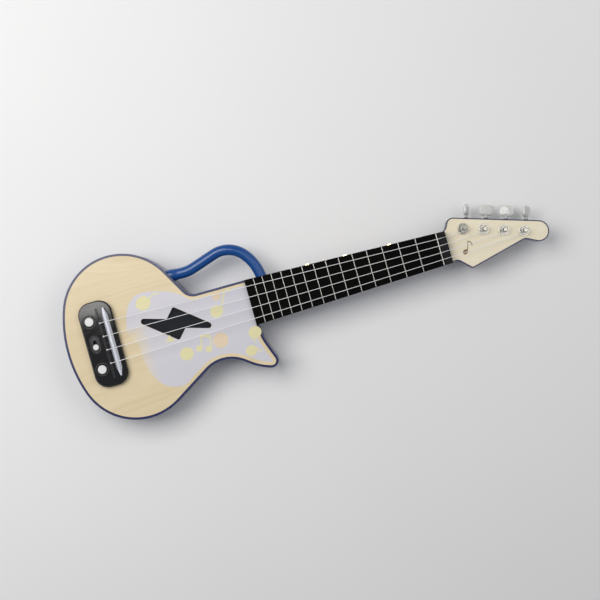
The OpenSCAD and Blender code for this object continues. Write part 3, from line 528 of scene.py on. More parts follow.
def rounded(part, finish, slot, radius, steps=3, sharp=32):
    grid = welded(part)
    bmesh.ops.dissolve_limit(grid, angle_limit=math.radians(0.4), verts=grid.verts, edges=grid.edges)
    bmesh.ops.recalc_face_normals(grid, faces=grid.faces)
    for face in grid.faces:
        face.smooth = True
    for edge in grid.edges:
        edge.smooth = len(edge.link_faces) != 2 or edge.calc_face_angle(0) < math.radians(sharp)
    mesh = to_mesh(grid, part + "_rounded")
    piece = link_piece(part + "_finished", mesh, finish, BODY_OF[part], [part])
    bevel = piece.modifiers.new("rounding", "BEVEL")
    bevel.limit_method = "ANGLE"
    bevel.angle_limit = math.radians(sharp)
    bevel.width = radius
    bevel.segments = steps
    bevel.harden_normals = True
    return piece


# Part, finish, radius in millimetres, steps in the rounding
ROUNDED = [
    ("body_frame", "navy_paint", 1.0, 3), ("back_panel", "navy_paint", 0.8, 3),
    ("neck", "navy_paint", 0.9, 3), ("battery_door", "navy_paint", 0.5, 2),
    ("soundboard", "pale_ply", 0.35, 2), ("head_face", "head_ply_painted_light", 0.5, 3),
    ("fretboard", "fretboard_black", 0.6, 3), ("bridge_housing", "black_plastic", 0.7, 4),
    ("nut", "black_plastic", 0.3, 2), ("saddle", "satin_silver", 0.25, 3),
    ("tuner_bushings", "chrome", 0.35, 3), ("tuner_housings", "chrome", 0.5, 3),
    ("speaker_grille", "black_plastic", 0.15, 2), ("upper_button", "white_plastic", 0.8, 4),
    ("lower_button", "white_plastic", 0.8, 4), ("switch_knob", "white_plastic", 0.5, 4),
]
ROUNDED += [(f"post_{i}", "chrome", 0.2, 2) for i in range(1, 5)]
for part, finish, radius, steps in ROUNDED:
    slot = "pale_ply" if finish == "head_ply_painted_light" else finish
    rounded(part, finish, slot, radius * MM, steps)
print("rounded copies:", len(PIECES))

# %% [markdown]
# ## The grip
#
# The grip is a round wooden bar bent into an arch. A bar along a path is what
# Curve to Mesh is for: the path is laid out as the bender would, in straights
# and turns, and one circle runs along it. The foot that sits in the body is
# thicker, which the curve's own radius sets.

# %% Helper: geometry node trees
def nodes_tree(name, inputs):
    tree = bpy.data.node_groups.new(name, "GeometryNodeTree")
    tree.interface.new_socket("Geometry", in_out="INPUT", socket_type="NodeSocketGeometry")
    for title, kind, value in inputs:
        socket = tree.interface.new_socket(title, in_out="INPUT", socket_type="NodeSocket" + kind)
        if value is not None:
            socket.default_value = value
    tree.interface.new_socket("Geometry", in_out="OUTPUT", socket_type="NodeSocketGeometry")
    return tree, tree.nodes.new("NodeGroupInput").outputs, tree.nodes.new("NodeGroupOutput").inputs[0]


def end_tree(tree, geometry, material, leave):
    """Every tree ends the same way: real geometry, smooth faces, one finish."""
    real = node(tree, "GeometryNodeRealizeInstances", {0: geometry}).outputs[0]
    smooth = node(tree, "GeometryNodeSetShadeSmooth", {0: real}).outputs[0]
    painted = node(tree, "GeometryNodeSetMaterial", {"Geometry": smooth, "Material": material}).outputs[0]
    tree.links.new(painted, leave)


def grow(name, mesh, tree, values, finish, body, replaced=(), soften=35):
    """Runs a tree on a mesh and keeps the result as a plain mesh."""
    seed = bpy.data.objects.new(name + "_seed", mesh)
    scene.collection.objects.link(seed)
    modifier = seed.modifiers.new("growth", "NODES")
    modifier.node_group = tree
    for item in tree.interface.items_tree:
        if item.in_out == "INPUT" and item.name in values:
            modifier[item.identifier] = values[item.name]
    grown = seed.evaluated_get(bpy.context.evaluated_depsgraph_get())
    result = bpy.data.meshes.new_from_object(grown)
    bpy.data.objects.remove(seed)
    grid = bmesh.new()
    grid.from_mesh(result)
    bmesh.ops.remove_doubles(grid, verts=grid.verts, dist=2e-7)
    bmesh.ops.recalc_face_normals(grid, faces=grid.faces)
    grid.to_mesh(result)
    grid.free()
    result.set_sharp_from_angle(angle=math.radians(soften))
    result.name = name
    return link_piece(name, result, finish, body, replaced)


def path_mesh(name, paths, radii=None):
    """A mesh of joined edges, one chain for each path, for a tree to turn into curves."""
    grid = bmesh.new()
    layer = grid.verts.layers.float.new("thickness")
    for k, path in enumerate(paths):
        last = None
        for i, point in enumerate(path):
            vert = grid.verts.new(point)
            vert[layer] = radii[k][i] if radii else 1.0
            if last:
                grid.edges.new((last, vert))
            last = vert
    return to_mesh(grid, name)


def thickness_in(tree):
    """The number that path_mesh stored on each point."""
    inputs = {"Name": "thickness"}
    return node(tree, "GeometryNodeInputNamedAttribute", inputs, data_type="FLOAT").outputs[0]


def make_bar_tree():
    tree, entry, leave = nodes_tree("Bar along a path", [
        ("Radius", "Float", 0.005), ("Sides", "Int", 24), ("Finish", "Material", None)])
    curve = node(tree, "GeometryNodeMeshToCurve", {0: entry["Geometry"]}).outputs[0]
    thickness = thickness_in(tree)
    sized = node(tree, "GeometryNodeSetCurveRadius", {"Curve": curve, "Radius": thickness}).outputs[0]
    ring = node(tree, "GeometryNodeCurvePrimitiveCircle", {
        "Resolution": entry["Sides"], "Radius": entry["Radius"],
    }).outputs[0]
    bar = node(tree, "GeometryNodeCurveToMesh", {"Curve": sized, "Profile Curve": ring, "Fill Caps": True})
    if "Scale" in bar.inputs:
        held = thickness_in(tree)
        tree.links.new(held, bar.inputs["Scale"])
    end_tree(tree, bar.outputs[0], entry["Finish"], leave)
    return tree


BAR_TREE = make_bar_tree()
BUTT_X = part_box("body_frame")[0].x


def at(x, y, z):
    """A point given in millimetres from the butt end, along, across and up."""
    return Vector((BUTT_X + x * MM, y * MM, z * MM))


# %% The grip's path
GRIP_D, GRIP_FOOT_D, GRIP_Z, GRIP_FOOT_L = 14.6, 16.4, 32.0, 12.0
GRIP_HEADING = -2.5
GRIP_START = (146.34, 63.4)
GRIP_RUNS = [(GRIP_FOOT_L, 0, 0), (11.4, 0, 0), (0, 55, 20.5), (31.1, 0, 0), (0, 36, -68), (0, 60, -30),
             (14, 0, 0)]


def bend_path(x, y, heading, runs, step=2.0):
    """Walks straights (length, 0, 0) and turns (0, radius, degrees)."""
    points = [(x, y)]
    for length, radius, turn in runs:
        count = max(2, int((length or abs(math.radians(turn)) * radius) / step))
        for _ in range(count):
            heading += turn / count / 2
            stride = (length or 2 * radius * math.sin(math.radians(abs(turn) / count / 2))) / count * (
                1 if length else count)
            x += stride * math.cos(math.radians(heading))
            y += stride * math.sin(math.radians(heading))
            heading += turn / count / 2
            points.append((x, y))
    return points


grip_line = bend_path(*GRIP_START, GRIP_HEADING, GRIP_RUNS)
run_length, grip_radii = 0.0, []
for i, point in enumerate(grip_line):
    if i:
        run_length += math.dist(point, grip_line[i - 1])
    blend = min(max((run_length - GRIP_FOOT_L) / 8.0, 0.0), 1.0)
    grip_radii.append(GRIP_FOOT_D / GRIP_D * (1 - blend) + blend)
grip_mesh = path_mesh("grip_path", [[at(x, y, GRIP_Z) for x, y in grip_line]], [grip_radii])
grow("grip", grip_mesh, BAR_TREE, {"Radius": GRIP_D / 2 * MM, "Sides": 48, "Finish": FINISHES["blue_paint"]},
     "blue_paint", "instrument", ["handle"])
print("grip length", round(run_length, 1), "mm, ends at", [round(v, 1) for v in grip_line[-1]])

# %% [markdown]
# ## Frets
#
# Frets are wire, cut and pressed into slots. Their places follow the rule of
# twelve: each fret shortens the string by the same share, and twelve of them
# halve it. That is one formula of the fret's number, so a tree places them all
# from the length of the string and the width of the board.

# %% Frets
BOARD_X, ZERO_X, HEAD_X = 249.0, 506.0, 518.0
SCALE_LENGTH, NUT_SET, FRET_COUNT = 435.5, 3.4, 14
HEEL_HALF, NUT_HALF = 30.5, 21.5
FRET_R = 0.75


def make_fret_tree():
    tree, entry, leave = nodes_tree("Frets by the rule of twelve", [
        ("Count", "Int", 14), ("First X", "Float", 0.0), ("String Length", "Float", 0.4),
        ("Board X", "Float", 0.0), ("Head X", "Float", 0.3), ("Wide", "Float", 0.03), ("Narrow", "Float", 0.02),
        ("Height", "Float", 0.05), ("Wire Radius", "Float", 0.001), ("Finish", "Material", None)])
    index = node(tree, "GeometryNodeInputIndex").outputs[0]
    number = math_of(tree, "ADD", index, 1.0)
    halving = math_of(tree, "POWER", 2.0, math_of(tree, "DIVIDE", number, -12.0))
    run = math_of(tree, "MULTIPLY", entry["String Length"], math_of(tree, "SUBTRACT", 1.0, halving))
    x = math_of(tree, "SUBTRACT", entry["First X"], run)
    share = node(tree, "ShaderNodeMapRange", {
        "Value": x, "From Min": entry["Board X"], "From Max": entry["Head X"],
        "To Min": entry["Wide"], "To Max": entry["Narrow"],
    }).outputs[0]
    spot = node(tree, "ShaderNodeCombineXYZ", {"X": x, "Z": entry["Height"]}).outputs[0]
    places = node(tree, "GeometryNodeMeshLine", {"Count": entry["Count"], "Offset": (0, 0, 0)}).outputs[0]
    placed = node(tree, "GeometryNodeSetPosition", {"Geometry": places, "Position": spot}).outputs[0]
    stretch = node(tree, "ShaderNodeCombineXYZ", {"X": 1.0, "Y": share, "Z": 1.0}).outputs[0]
    wire = node(tree, "GeometryNodeCurvePrimitiveLine", {"Start": (0, -1, 0), "End": (0, 1, 0)}).outputs[0]
    ring = node(tree, "GeometryNodeCurvePrimitiveCircle", {
        "Resolution": 16, "Radius": entry["Wire Radius"],
    }).outputs[0]
    bar = node(tree, "GeometryNodeCurveToMesh", {
        "Curve": wire, "Profile Curve": ring, "Fill Caps": True,
    }).outputs[0]
    set_in = node(tree, "GeometryNodeInstanceOnPoints", {
        "Points": placed, "Instance": bar, "Scale": stretch,
    }).outputs[0]
    end_tree(tree, set_in, entry["Finish"], leave)
    return tree


fret_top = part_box("frets")[1].z
grow("fret_wires", path_mesh("fret_seed", [[(0, 0, 0)]]), make_fret_tree(), {
    "Count": FRET_COUNT, "First X": at(ZERO_X - NUT_SET, 0, 0).x, "String Length": SCALE_LENGTH * MM,
    "Board X": at(BOARD_X, 0, 0).x, "Head X": at(HEAD_X, 0, 0).x,
    "Wide": (HEEL_HALF - 0.4) * MM, "Narrow": (NUT_HALF - 0.4) * MM,
    "Height": fret_top - FRET_R * MM, "Wire Radius": FRET_R * MM, "Finish": FINISHES["nickel"],
}, "nickel", "instrument", ["frets"])

# %% [markdown]
# ## Strings
#
# Each string starts at a knot in the bridge, bends over the saddle and the zero
# fret, and winds down its post nearly three times. It is held all the way, so it
# is an ordinary piece. The path is one chain of points, and the same bar tree
# that made the grip gives it a round section. The knot is a thick spot in it.

# %% Strings
STRING_D, ANCHOR_X, SADDLE_X = 0.8, 53.1, 62.6
BRIDGE_Z, SADDLE_H, ZERO_TOP = 54.0, 4.6, 52.75
STRING_PITCH, NUT_PITCH = 18.0, 9.2
HEAD_Z, WASHER_T, POST_D, POST_PITCH = 42.0, 1.4, 6.0, 26.6
EDGE_ANGLE = math.radians(17.36)
COIL_R = POST_D / 2 + 0.1 + STRING_D / 2
COIL_Z = HEAD_Z + WASHER_T + 3.9 * STRING_D
TURNS, STEPS = 2.75, 24


def post_place(i):
    return (HEAD_X + 26.1 + i * POST_PITCH * math.cos(EDGE_ANGLE), 18.1 - i * POST_PITCH * math.sin(EDGE_ANGLE))


def string_path(i):
    y_bridge, y_nut = (1.5 - i) * STRING_PITCH, (1.5 - i) * NUT_PITCH
    px, py = post_place(i)
    path = [at(ANCHOR_X, y_bridge, BRIDGE_Z + dz) for dz in (-2.0, -0.6, 0.1, 0.55, 0.95, 1.3)]
    path += [at(ANCHOR_X + 0.6, y_bridge, BRIDGE_Z + 1.35)]
    path += [at(SADDLE_X - 0.7, y_bridge, BRIDGE_Z + SADDLE_H + STRING_D / 2 - 0.25),
             at(SADDLE_X + 0.7, y_bridge, BRIDGE_Z + SADDLE_H + STRING_D / 2 - 0.02)]
    path += [at(ZERO_X, y_nut, ZERO_TOP + STRING_D / 2)]
    for k in range(int(TURNS * STEPS) + 1):
        a = math.radians(-90) + 2 * math.pi * k / STEPS
        path.append(at(px + COIL_R * math.cos(a), py + COIL_R * math.sin(a),
                       COIL_Z - 3.2 * STRING_D * k / (TURNS * STEPS)))
    knot = [1, 1, 2.0, 2.9, 2.2, 1.2]
    return path, knot + [1.0] * (len(path) - len(knot))


for i in range(4):
    path, radii = string_path(i)
    grow(f"nylon_string_{i + 1}", path_mesh("string_path", [path], [radii]), BAR_TREE, {
        "Radius": STRING_D / 2 * MM, "Sides": 10, "Finish": FINISHES["nylon"],
    }, "nylon", "instrument", [f"string_{i + 1}"], soften=60)
print("strings and windings:", 4)

# %% [markdown]
# ## Screws
#
# Screws repeat wherever a panel is held. The tree builds one pan head, a
# flattened dome with a cross cut into it, and sets it on every point of a mesh
# that only says where the screws go. Heads on the back look down, so the tree
# has a switch that turns them over.

# %% Screws
def make_screw_tree():
    tree, entry, leave = nodes_tree("Pan head screws", [
        ("Head Radius", "Float", 0.003), ("Head Height", "Float", 0.002), ("Cross Width", "Float", 0.0008),
        ("Turn Over", "Float", 0.0), ("Finish", "Material", None)])
    flat = math_of(tree, "DIVIDE", entry["Head Height"], entry["Head Radius"])
    dome_scale = node(tree, "ShaderNodeCombineXYZ", {"X": 1.0, "Y": 1.0, "Z": flat}).outputs[0]
    ball = node(tree, "GeometryNodeMeshUVSphere", {
        "Segments": 28, "Rings": 14, "Radius": entry["Head Radius"],
    }).outputs[0]
    dome = node(tree, "GeometryNodeTransform", {"Geometry": ball, "Scale": dome_scale}).outputs[0]
    long_side = math_of(tree, "MULTIPLY", entry["Head Radius"], 1.2)
    lift = node(tree, "ShaderNodeCombineXYZ", {"Z": entry["Head Height"]}).outputs[0]
    cutters = []
    for turn in (0.0, math.pi / 2):
        size = node(tree, "ShaderNodeCombineXYZ", {
            "X": long_side, "Y": entry["Cross Width"], "Z": entry["Head Height"],
        }).outputs[0]
        cube = node(tree, "GeometryNodeMeshCube", {"Size": size}).outputs[0]
        cutters.append(node(tree, "GeometryNodeTransform", {
            "Geometry": cube, "Translation": lift, "Rotation": (0, 0, turn),
        }).outputs[0])
    cross = node(tree, "GeometryNodeMeshBoolean", {}, operation="UNION", solver="EXACT")
    for cutter in cutters:
        tree.links.new(cutter, cross.inputs["Mesh 2"])
    cut = node(tree, "GeometryNodeMeshBoolean", {"Mesh 1": dome, "Mesh 2": cross.outputs[0]},
               operation="DIFFERENCE", solver="EXACT").outputs[0]
    over = math_of(tree, "MULTIPLY", entry["Turn Over"], math.pi)
    angle = thickness_in(tree)
    way = node(tree, "ShaderNodeCombineXYZ", {"X": over, "Z": angle}).outputs[0]
    turned = node(tree, "FunctionNodeEulerToRotation", {0: way}).outputs[0]
    heads = node(tree, "GeometryNodeInstanceOnPoints", {
        "Points": entry["Geometry"], "Instance": cut, "Rotation": turned,
    }).outputs[0]
    end_tree(tree, heads, entry["Finish"], leave)
    return tree


SCREW_TREE = make_screw_tree()


def screw_centres(part):
    """Where a part's separate screws stand: the middle of each loose piece of its mesh."""
    grid = welded(part)
    left, centres = set(grid.verts), []
    while left:
        island, queue = set(), [next(iter(sorted(left, key=lambda v: v.index)))]
        while queue:
            vert = queue.pop()
            if vert in island:
                continue
            island.add(vert)
            queue.extend(e.other_vert(vert) for e in vert.link_edges)
        left -= island
        points = np.array([v.co[:] for v in island])
        centres.append((points.min(0), points.max(0)))
    grid.free()
    return sorted(centres, key=lambda c: tuple(np.round(c[0], 5)))


def set_screws(part, head_radius, head_height, down, finish="steel"):
    spots, turns = [], []
    for k, (low, high) in enumerate(screw_centres(part)):
        middle = (low + high) / 2
        top = low[2] + head_height if down else high[2] - head_height
        spots.append([(middle[0], middle[1], top)])
        turns.append([0.4 + 1.1 * k])
    grow(part + "_heads", path_mesh("screw_places", spots, turns), SCREW_TREE, {
        "Head Radius": head_radius, "Head Height": head_height, "Cross Width": head_radius * 0.28,
        "Turn Over": 1.0 if down else 0.0, "Finish": FINISHES[finish],
    }, finish, BODY_OF[part], [part])
    return len(spots)


count = set_screws("back_screws", 3.0 * MM, 2.0 * MM, True)
count += set_screws("tuner_screws", 2.0 * MM, 1.2 * MM, True)
count += set_screws("door_screws", 2.2 * MM, 1.2 * MM, True)
print("screws set:", count)

# %% [markdown]
# ## Tuning knobs
#
# A knob is a soft-cornered paddle on a short hub. The paddle is a superellipsoid,
# a ball that is pushed towards a box, whose exponents set how square it looks
# from the front and how round it is at the rim. A subdivided box could do it
# too, but the formula gives the crown and the corners from two numbers.

# %% Knobs
KNOB_W, KNOB_L, KNOB_T = 21.0, 18.0, 6.5
KNOB_TURN = [72, 12, -16, 58]
HUB = [(0, 0), (2.3, 0), (2.6, 0.3), (2.6, 2.6), (2.9, 3.8), (3.0, 4.6), (0, 4.6)]
WORM_E, FERRULE_N, FREE = 5.9, 16.0, 0.3
WORM_Z = (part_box("worm_1")[0].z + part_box("worm_1")[1].z) / 2 / MM


def power(value, exponent):
    return math.copysign(abs(value) ** exponent, value)


def paddle(grid, place, squareness=0.55, crown=0.72, around=40, rings=24):
    """A closed superellipsoid; place turns (across, through, out) into a point."""
    half_w, half_t, half_l = KNOB_W / 2, KNOB_T / 2, (KNOB_L - 3.0) / 2
    middle = KNOB_L - half_l
    poles = [grid.verts.new(place(0, 0, middle + s * half_l)) for s in (-1, 1)]
    rows = []
    for r in range(1, rings):
        v = -math.pi / 2 + math.pi * r / rings
        row = []
        for k in range(around):
            u = 2 * math.pi * k / around
            row.append(grid.verts.new(place(
                half_w * power(math.cos(v), squareness) * power(math.cos(u), crown),
                half_t * power(math.cos(v), squareness) * power(math.sin(u), crown),
                middle + half_l * power(math.sin(v), squareness))))
        rows.append(row)
    skin(grid, rows, closed=False)
    for k in range(around):
        grid.faces.new((poles[0], rows[0][(k + 1) % around], rows[0][k]))
        grid.faces.new((poles[1], rows[-1][k], rows[-1][(k + 1) % around]))


def skin(grid, rings, closed=True):
    """Faces from each ring to the next; closed also joins the last ring to the first."""
    for ring, after in zip(rings, rings[1:] + rings[:1] if closed else rings[1:]):
        for k in range(len(ring)):
            n = (k + 1) % len(ring)
            grid.faces.new((ring[k], ring[n], after[n], after[k]))


def lathe(grid, place, profile, around=32):
    """Turns a profile of (radius, height) round the third axis; it starts and ends on the axis."""
    rows = []
    for radius, height in profile:
        if radius < 1e-9:
            rows.append([grid.verts.new(place(0, 0, height))])
        else:
            rows.append([grid.verts.new(place(radius * math.cos(2 * math.pi * k / around),
                                              radius * math.sin(2 * math.pi * k / around), height))
                         for k in range(around)])
    for row, after in zip(rows, rows[1:]):
        for k in range(around):
            a, b = row[k % len(row)], row[(k + 1) % len(row)]
            c, d = after[(k + 1) % len(after)], after[k % len(after)]
            corners = [v for n, v in enumerate((a, b, c, d)) if v not in (a, b, c, d)[:n]]
            grid.faces.new(corners)


def mesh_from(grid, name, sharp=40):
    bmesh.ops.recalc_face_normals(grid, faces=grid.faces)
    for face in grid.faces:
        face.smooth = True
    mesh = to_mesh(grid, name)
    mesh.set_sharp_from_angle(angle=math.radians(sharp))
    return mesh


along_edge = Vector((math.cos(EDGE_ANGLE), -math.sin(EDGE_ANGLE), 0))
out_of_edge = Vector((math.sin(EDGE_ANGLE), math.cos(EDGE_ANGLE), 0))
for i in range(4):
    px, py = post_place(i)
    centre = at(px, py, WORM_Z) + along_edge * WORM_E * MM
    a = math.radians(KNOB_TURN[i])
    across = along_edge * math.cos(a) + Vector((0, 0, -1)) * math.sin(a)
    through = -along_edge * math.sin(a) + Vector((0, 0, -1)) * math.cos(a)

    def knob_place(x, y, z):
        return centre + (across * x + through * y + out_of_edge * (z + FERRULE_N + FREE)) * MM

    grid = bmesh.new()
    paddle(grid, knob_place)
    lathe(grid, knob_place, HUB)
    knob_mesh = mesh_from(grid, f"knob_{i + 1}_mesh", 60)
    link_piece(f"pearl_knob_{i + 1}", knob_mesh, "pearl_plastic", f"key_{i + 1}",
               [f"knob_{i + 1}"])
print("knobs made")

# %% [markdown]
# ## Hexagon nuts
#
# A nut draws each post's bushing tight against the headstock. Its six flats
# catch the light one by one, which a plain washer can't do. Each outline point
# sits where a ray from the middle meets the flats; a short slope and a level
# rim lead in to the bushing. A nut turns to its own angle, as hands leave it.

# %% Hexagon nuts round the posts
HEX_FLAT, HEX_INSIDE, HEX_H, HEX_SLOPE, HEX_POINTS = 5.5, 4.4, 1.5, 0.5, 48
grid = bmesh.new()
for i in range(4):
    px, py = post_place(i)
    rows = []
    for share, height in ((0.0, 0.0), (0.0, HEX_H - HEX_SLOPE), (0.5, HEX_H), (1.0, HEX_H), (1.0, 0.0)):
        row = []
        for k in range(HEX_POINTS):
            a = 2 * math.pi * k / HEX_POINTS
            flat = HEX_FLAT / math.cos((a + 0.3 * i) % (math.pi / 3) - math.pi / 6)
            radius = flat * (1 - share) + HEX_INSIDE * share
            row.append(grid.verts.new(at(px + radius * math.cos(a), py + radius * math.sin(a),
                                         HEAD_Z + WASHER_T + height)))
        rows.append(row)
    skin(grid, rows)
link_piece("hexagon_nuts", mesh_from(grid, "hexagon_nuts_mesh", 25), "chrome", "instrument")
print("nuts made")

# %% [markdown]
# ## Shaft collars
#
# Between each housing and its knob the worm's shaft wears a black plastic
# collar, turned with a small rounding at both rims. It stays with the
# instrument and the knob turns against it, so it is a piece of its own.

# %% Shaft collars
COLLAR = [(0, 14.6), (3.1, 14.6), (3.3, 14.8), (3.3, 15.8), (3.1, 16.0), (2.0, 16.05), (0, 16.05)]
grid = bmesh.new()
for i in range(4):
    px, py = post_place(i)
    centre = at(px, py, WORM_Z) + along_edge * WORM_E * MM

    def collar_place(x, y, z):
        return centre + (along_edge * x + Vector((0, 0, y)) + out_of_edge * z) * MM

    lathe(grid, collar_place, COLLAR)
link_piece("shaft_collars", mesh_from(grid, "shaft_collars_mesh", 50), "black_plastic", "instrument")
print("collars made")

# %% [markdown]
# ## The printed decoration
#
# The face carries a pale lavender field with faint yellow notes and dots,
# screen-printed before the lacquer. Ink could be a mask in the wood's material,
# but its outline follows the body's edge and has a hole in it, which is easier
# to draw as a shape. So each ink is a film a few hundredths of a millimetre
# thick, lying on the wood.

# %% Helper: outlines read from the design
def top_outlines(part):
    """The closed outlines of a part's highest flat face, longest first, as rows of (x, y)."""
    grid = welded(part)
    top = max(v.co.z for v in grid.verts)
    flat = {f for f in grid.faces if all(abs(v.co.z - top) < 2e-5 for v in f.verts)}
    rim = {}
    for face in flat:
        for loop in face.loops:
            if all(f not in flat for f in loop.edge.link_faces if f is not face):
                rim[loop.vert] = loop.link_loop_next.vert
    outlines = []
    while rim:
        start = vert = next(iter(sorted(rim, key=lambda v: v.index)))
        line = []
        while vert in rim:
            line.append(tuple(vert.co[:2]))
            vert = rim.pop(vert)
        outlines.append(np.array(line))
    grid.free()
    return sorted(outlines, key=lambda o: -np.linalg.norm(o - np.roll(o, 1, 0), axis=1).sum())


def run_in(line, distance):
    """Moves a closed anticlockwise outline inwards."""
    chord = np.roll(line, -1, 0) - np.roll(line, 1, 0)
    chord /= np.linalg.norm(chord, axis=1)[:, None]
    return line + distance * np.stack([-chord[:, 1], chord[:, 0]], 1)


def fine_line(line, step):
    """The same closed outline with points no further apart than step."""
    points = []
    for a, b in zip(line, np.roll(line, -1, 0)):
        count = max(1, math.ceil(np.linalg.norm(b - a) / step))
        points += [a + (b - a) * k / count for k in range(count)]
    return np.array(points)


def area_of(line):
    x, y = line[:, 0], line[:, 1]
    return 0.5 * float((x * np.roll(y, -1) - np.roll(x, -1) * y).sum())


def smooth_line(points, steps=8):
    """A Catmull-Rom curve through the points, ends included."""
    p = [np.array(q, float) for q in points]
    p = [2 * p[0] - p[1], *p, 2 * p[-1] - p[-2]]
    line = []
    for a, b, c, d in zip(p, p[1:], p[2:], p[3:]):
        for k in range(steps):
            t = k / steps
            line.append(0.5 * (2 * b + (c - a) * t + (2 * a - 5 * b + 4 * c - d) * t * t
                               + (3 * b - a - 3 * c + d) * t ** 3))
    return np.array([*line, p[-2]])


def ink_film(name, shapes, height, thickness, finish):
    """Flat films: each shape is a list of outlines, the first outside and the rest holes."""
    grid = bmesh.new()
    for outlines in shapes:
        tops = [[grid.verts.new((x, y, height + thickness)) for x, y in line] for line in outlines]
        flat = [v for line in tops for v in line]
        for tri in tessellate_polygon([[Vector((x, y, 0)) for x, y in line] for line in outlines]):
            if len({*tri}) == 3:
                grid.faces.new([flat[k] for k in tri])
        for line in tops:
            lower = [grid.verts.new((v.co.x, v.co.y, height)) for v in line]
            for k in range(len(line)):
                n = (k + 1) % len(line)
                grid.faces.new((line[k], lower[k], lower[n], line[n]))
    bmesh.ops.recalc_face_normals(grid, faces=grid.faces)
    mesh = to_mesh(grid, name)
    return link_piece(name, mesh, finish, "instrument")


face_outlines = top_outlines("soundboard")
outline = face_outlines[0] if area_of(face_outlines[0]) > 0 else face_outlines[0][::-1]
bolt = min(face_outlines[1:], key=lambda o: abs(o.mean(0)[0] - at(147.8, 0, 0).x))
print("outlines on the face:", [len(o) for o in face_outlines], "hole", np.round(bolt.mean(0), 4))

# %% Inks
def make_ink(name, colour, second, fade):
    """Thin ink: the wood's own grain shows through, more where the print fades out."""
    tree, shader = start_finish(name, {"Coat Weight": 0.25, "Coat Roughness": 0.2, "Specular IOR Level": 0.4})
    grain = group_node(tree, WOOD_GRAIN, {
        "Pale": paint_chart(242, 227, 190), "Deep": paint_chart(222, 198, 150), "Scale": 26.0, "Contrast": 0.55,
    })
    place = place_in(tree)
    drift = noise_of(tree, place, 12.0, 2.0)
    ink = blend_of(tree, drift, paint_chart(*colour), paint_chart(*second))
    cover = 0.88
    if fade:
        x, y, _ = node(tree, "ShaderNodeSeparateXYZ", {0: place}).outputs
        side = ramp_of(tree, x, fade[0], fade[1], smooth=True)
        above = ramp_of(tree, y, -0.004, 0.014, smooth=True)
        cover = math_of(tree, "MULTIPLY", math_of(tree, "MAXIMUM", side, above), 0.88)
    shown = blend_of(tree, cover, grain["Colour"], ink)
    surface(tree, shader, shown, 0.4, 0.12, 0.06)
    bump_into(tree, shader, grain["Height"], 0.00004, 0.5)


make_ink("lavender_ink", (212, 214, 232), (218, 218, 228), (-0.246, -0.212))
make_ink("yellow_ink", (238, 232, 184), (234, 228, 174), None)
make_ink("peach_ink", (240, 220, 192), (236, 212, 184), None)

# %% The lavender field
INK_IN = 4.5 * MM
follow = fine_line(run_in(outline, INK_IN), 2 * MM)
first = int(np.argmin(np.linalg.norm(follow - np.array((-0.150, 0.031)), axis=1)))
last = int(np.argmin(np.linalg.norm(follow - np.array((-0.172, -0.074)), axis=1)))
count = len(follow)
edge_side = [follow[(first - k) % count] for k in range((first - last) % count + 1)]
neck_side = BUTT_X + BOARD_X * MM - 0.0001
edge_side = np.array([(neck_side if abs(y) < 0.031 and x > -0.084 else x, y) for x, y in edge_side])
free_side = smooth_line([edge_side[-1], (-0.192, -0.081), (-0.216, -0.072), (-0.231, -0.045), (-0.233, -0.017),
                         (-0.2425, 0.005), (-0.237, 0.031), (-0.2235, 0.048), (-0.203, 0.050), (-0.172, 0.0405),
                         edge_side[0]])
field = np.concatenate([edge_side, free_side[1:-1]])
keep = [k for k in range(len(field)) if np.linalg.norm(field[k] - field[k - 1]) > 1e-5]
field = field[keep]
bolt_rim = bolt if area_of(bolt) < 0 else bolt[::-1]
bolt_rim = bolt_rim.mean(0) + (bolt_rim - bolt_rim.mean(0)) * 1.012
INK_T = 0.00004
ink_film("ink_field", [[field, bolt_rim]], FACE_Z, INK_T, "lavender_ink")
print("field outline points", len(field))

# %% Notes and dots
def dot(x, y, radius, stretch=1.0, lean=0.0, around=32):
    a = np.linspace(0, 2 * math.pi, around, endpoint=False)
    px, py = radius * stretch * np.cos(a), radius * np.sin(a)
    return np.stack([x + px * math.cos(lean) - py * math.sin(lean),
                     y + px * math.sin(lean) + py * math.cos(lean)], 1)


def stroke(points, width):
    """A ribbon of even width along a line of points."""
    p = np.array(points, float)
    way = np.gradient(p, axis=0)
    way /= np.linalg.norm(way, axis=1)[:, None]
    side = np.stack([-way[:, 1], way[:, 0]], 1) * width / 2
    return np.concatenate([p + side, (p - side)[::-1]])


DOTS = [(-213, 37, 9.2), (-123, 1, 8), (-82, -39, 8), (-93, -61, 7), (-175.5, -42, 8.5), (-158, -40, 4),
        (-146, -44, 4)]
yellow = [[dot(x * MM, y * MM, r * MM, 1.08, 0.3)] for x, y, r in DOTS]
STEMS = [[(-205, 40), (-197, 45), (-190, 44)], [(-154.5, -39), (-152, -24)], [(-142.5, -43), (-140, -28)],
         [(-116, 3), (-108, 20), (-106, 26)], [(-106, 26), (-98, 23)], [(-87, -58), (-80, -66)],
         [(-88, -44), (-84, -52)]]
stems = [[stroke(smooth_line(np.array(s) * MM, 6), 1.8 * MM)] for s in STEMS]
beam = [[stroke(np.array([(-152, -24), (-140, -28)]) * MM, 3.2 * MM)]]
yellow.append([np.array([(-198, -20), (-186, -22), (-191, -12)]) * MM])
peach = [[dot(-0.128, -0.037, 0.0102, 1.0)], [dot(-0.118, 0.0195, 0.0048, 1.2, 0.4)]]
ink_film("ink_notes", yellow, FACE_Z + INK_T, INK_T, "yellow_ink")
ink_film("ink_stems", stems, FACE_Z + 1.5 * INK_T, INK_T, "yellow_ink")
ink_film("ink_beam", beam, FACE_Z + 2 * INK_T, INK_T, "yellow_ink")
ink_film("ink_dots", peach, FACE_Z + INK_T, INK_T, "peach_ink")
print("printed shapes:", len(yellow) + len(stems) + len(peach) + 1)

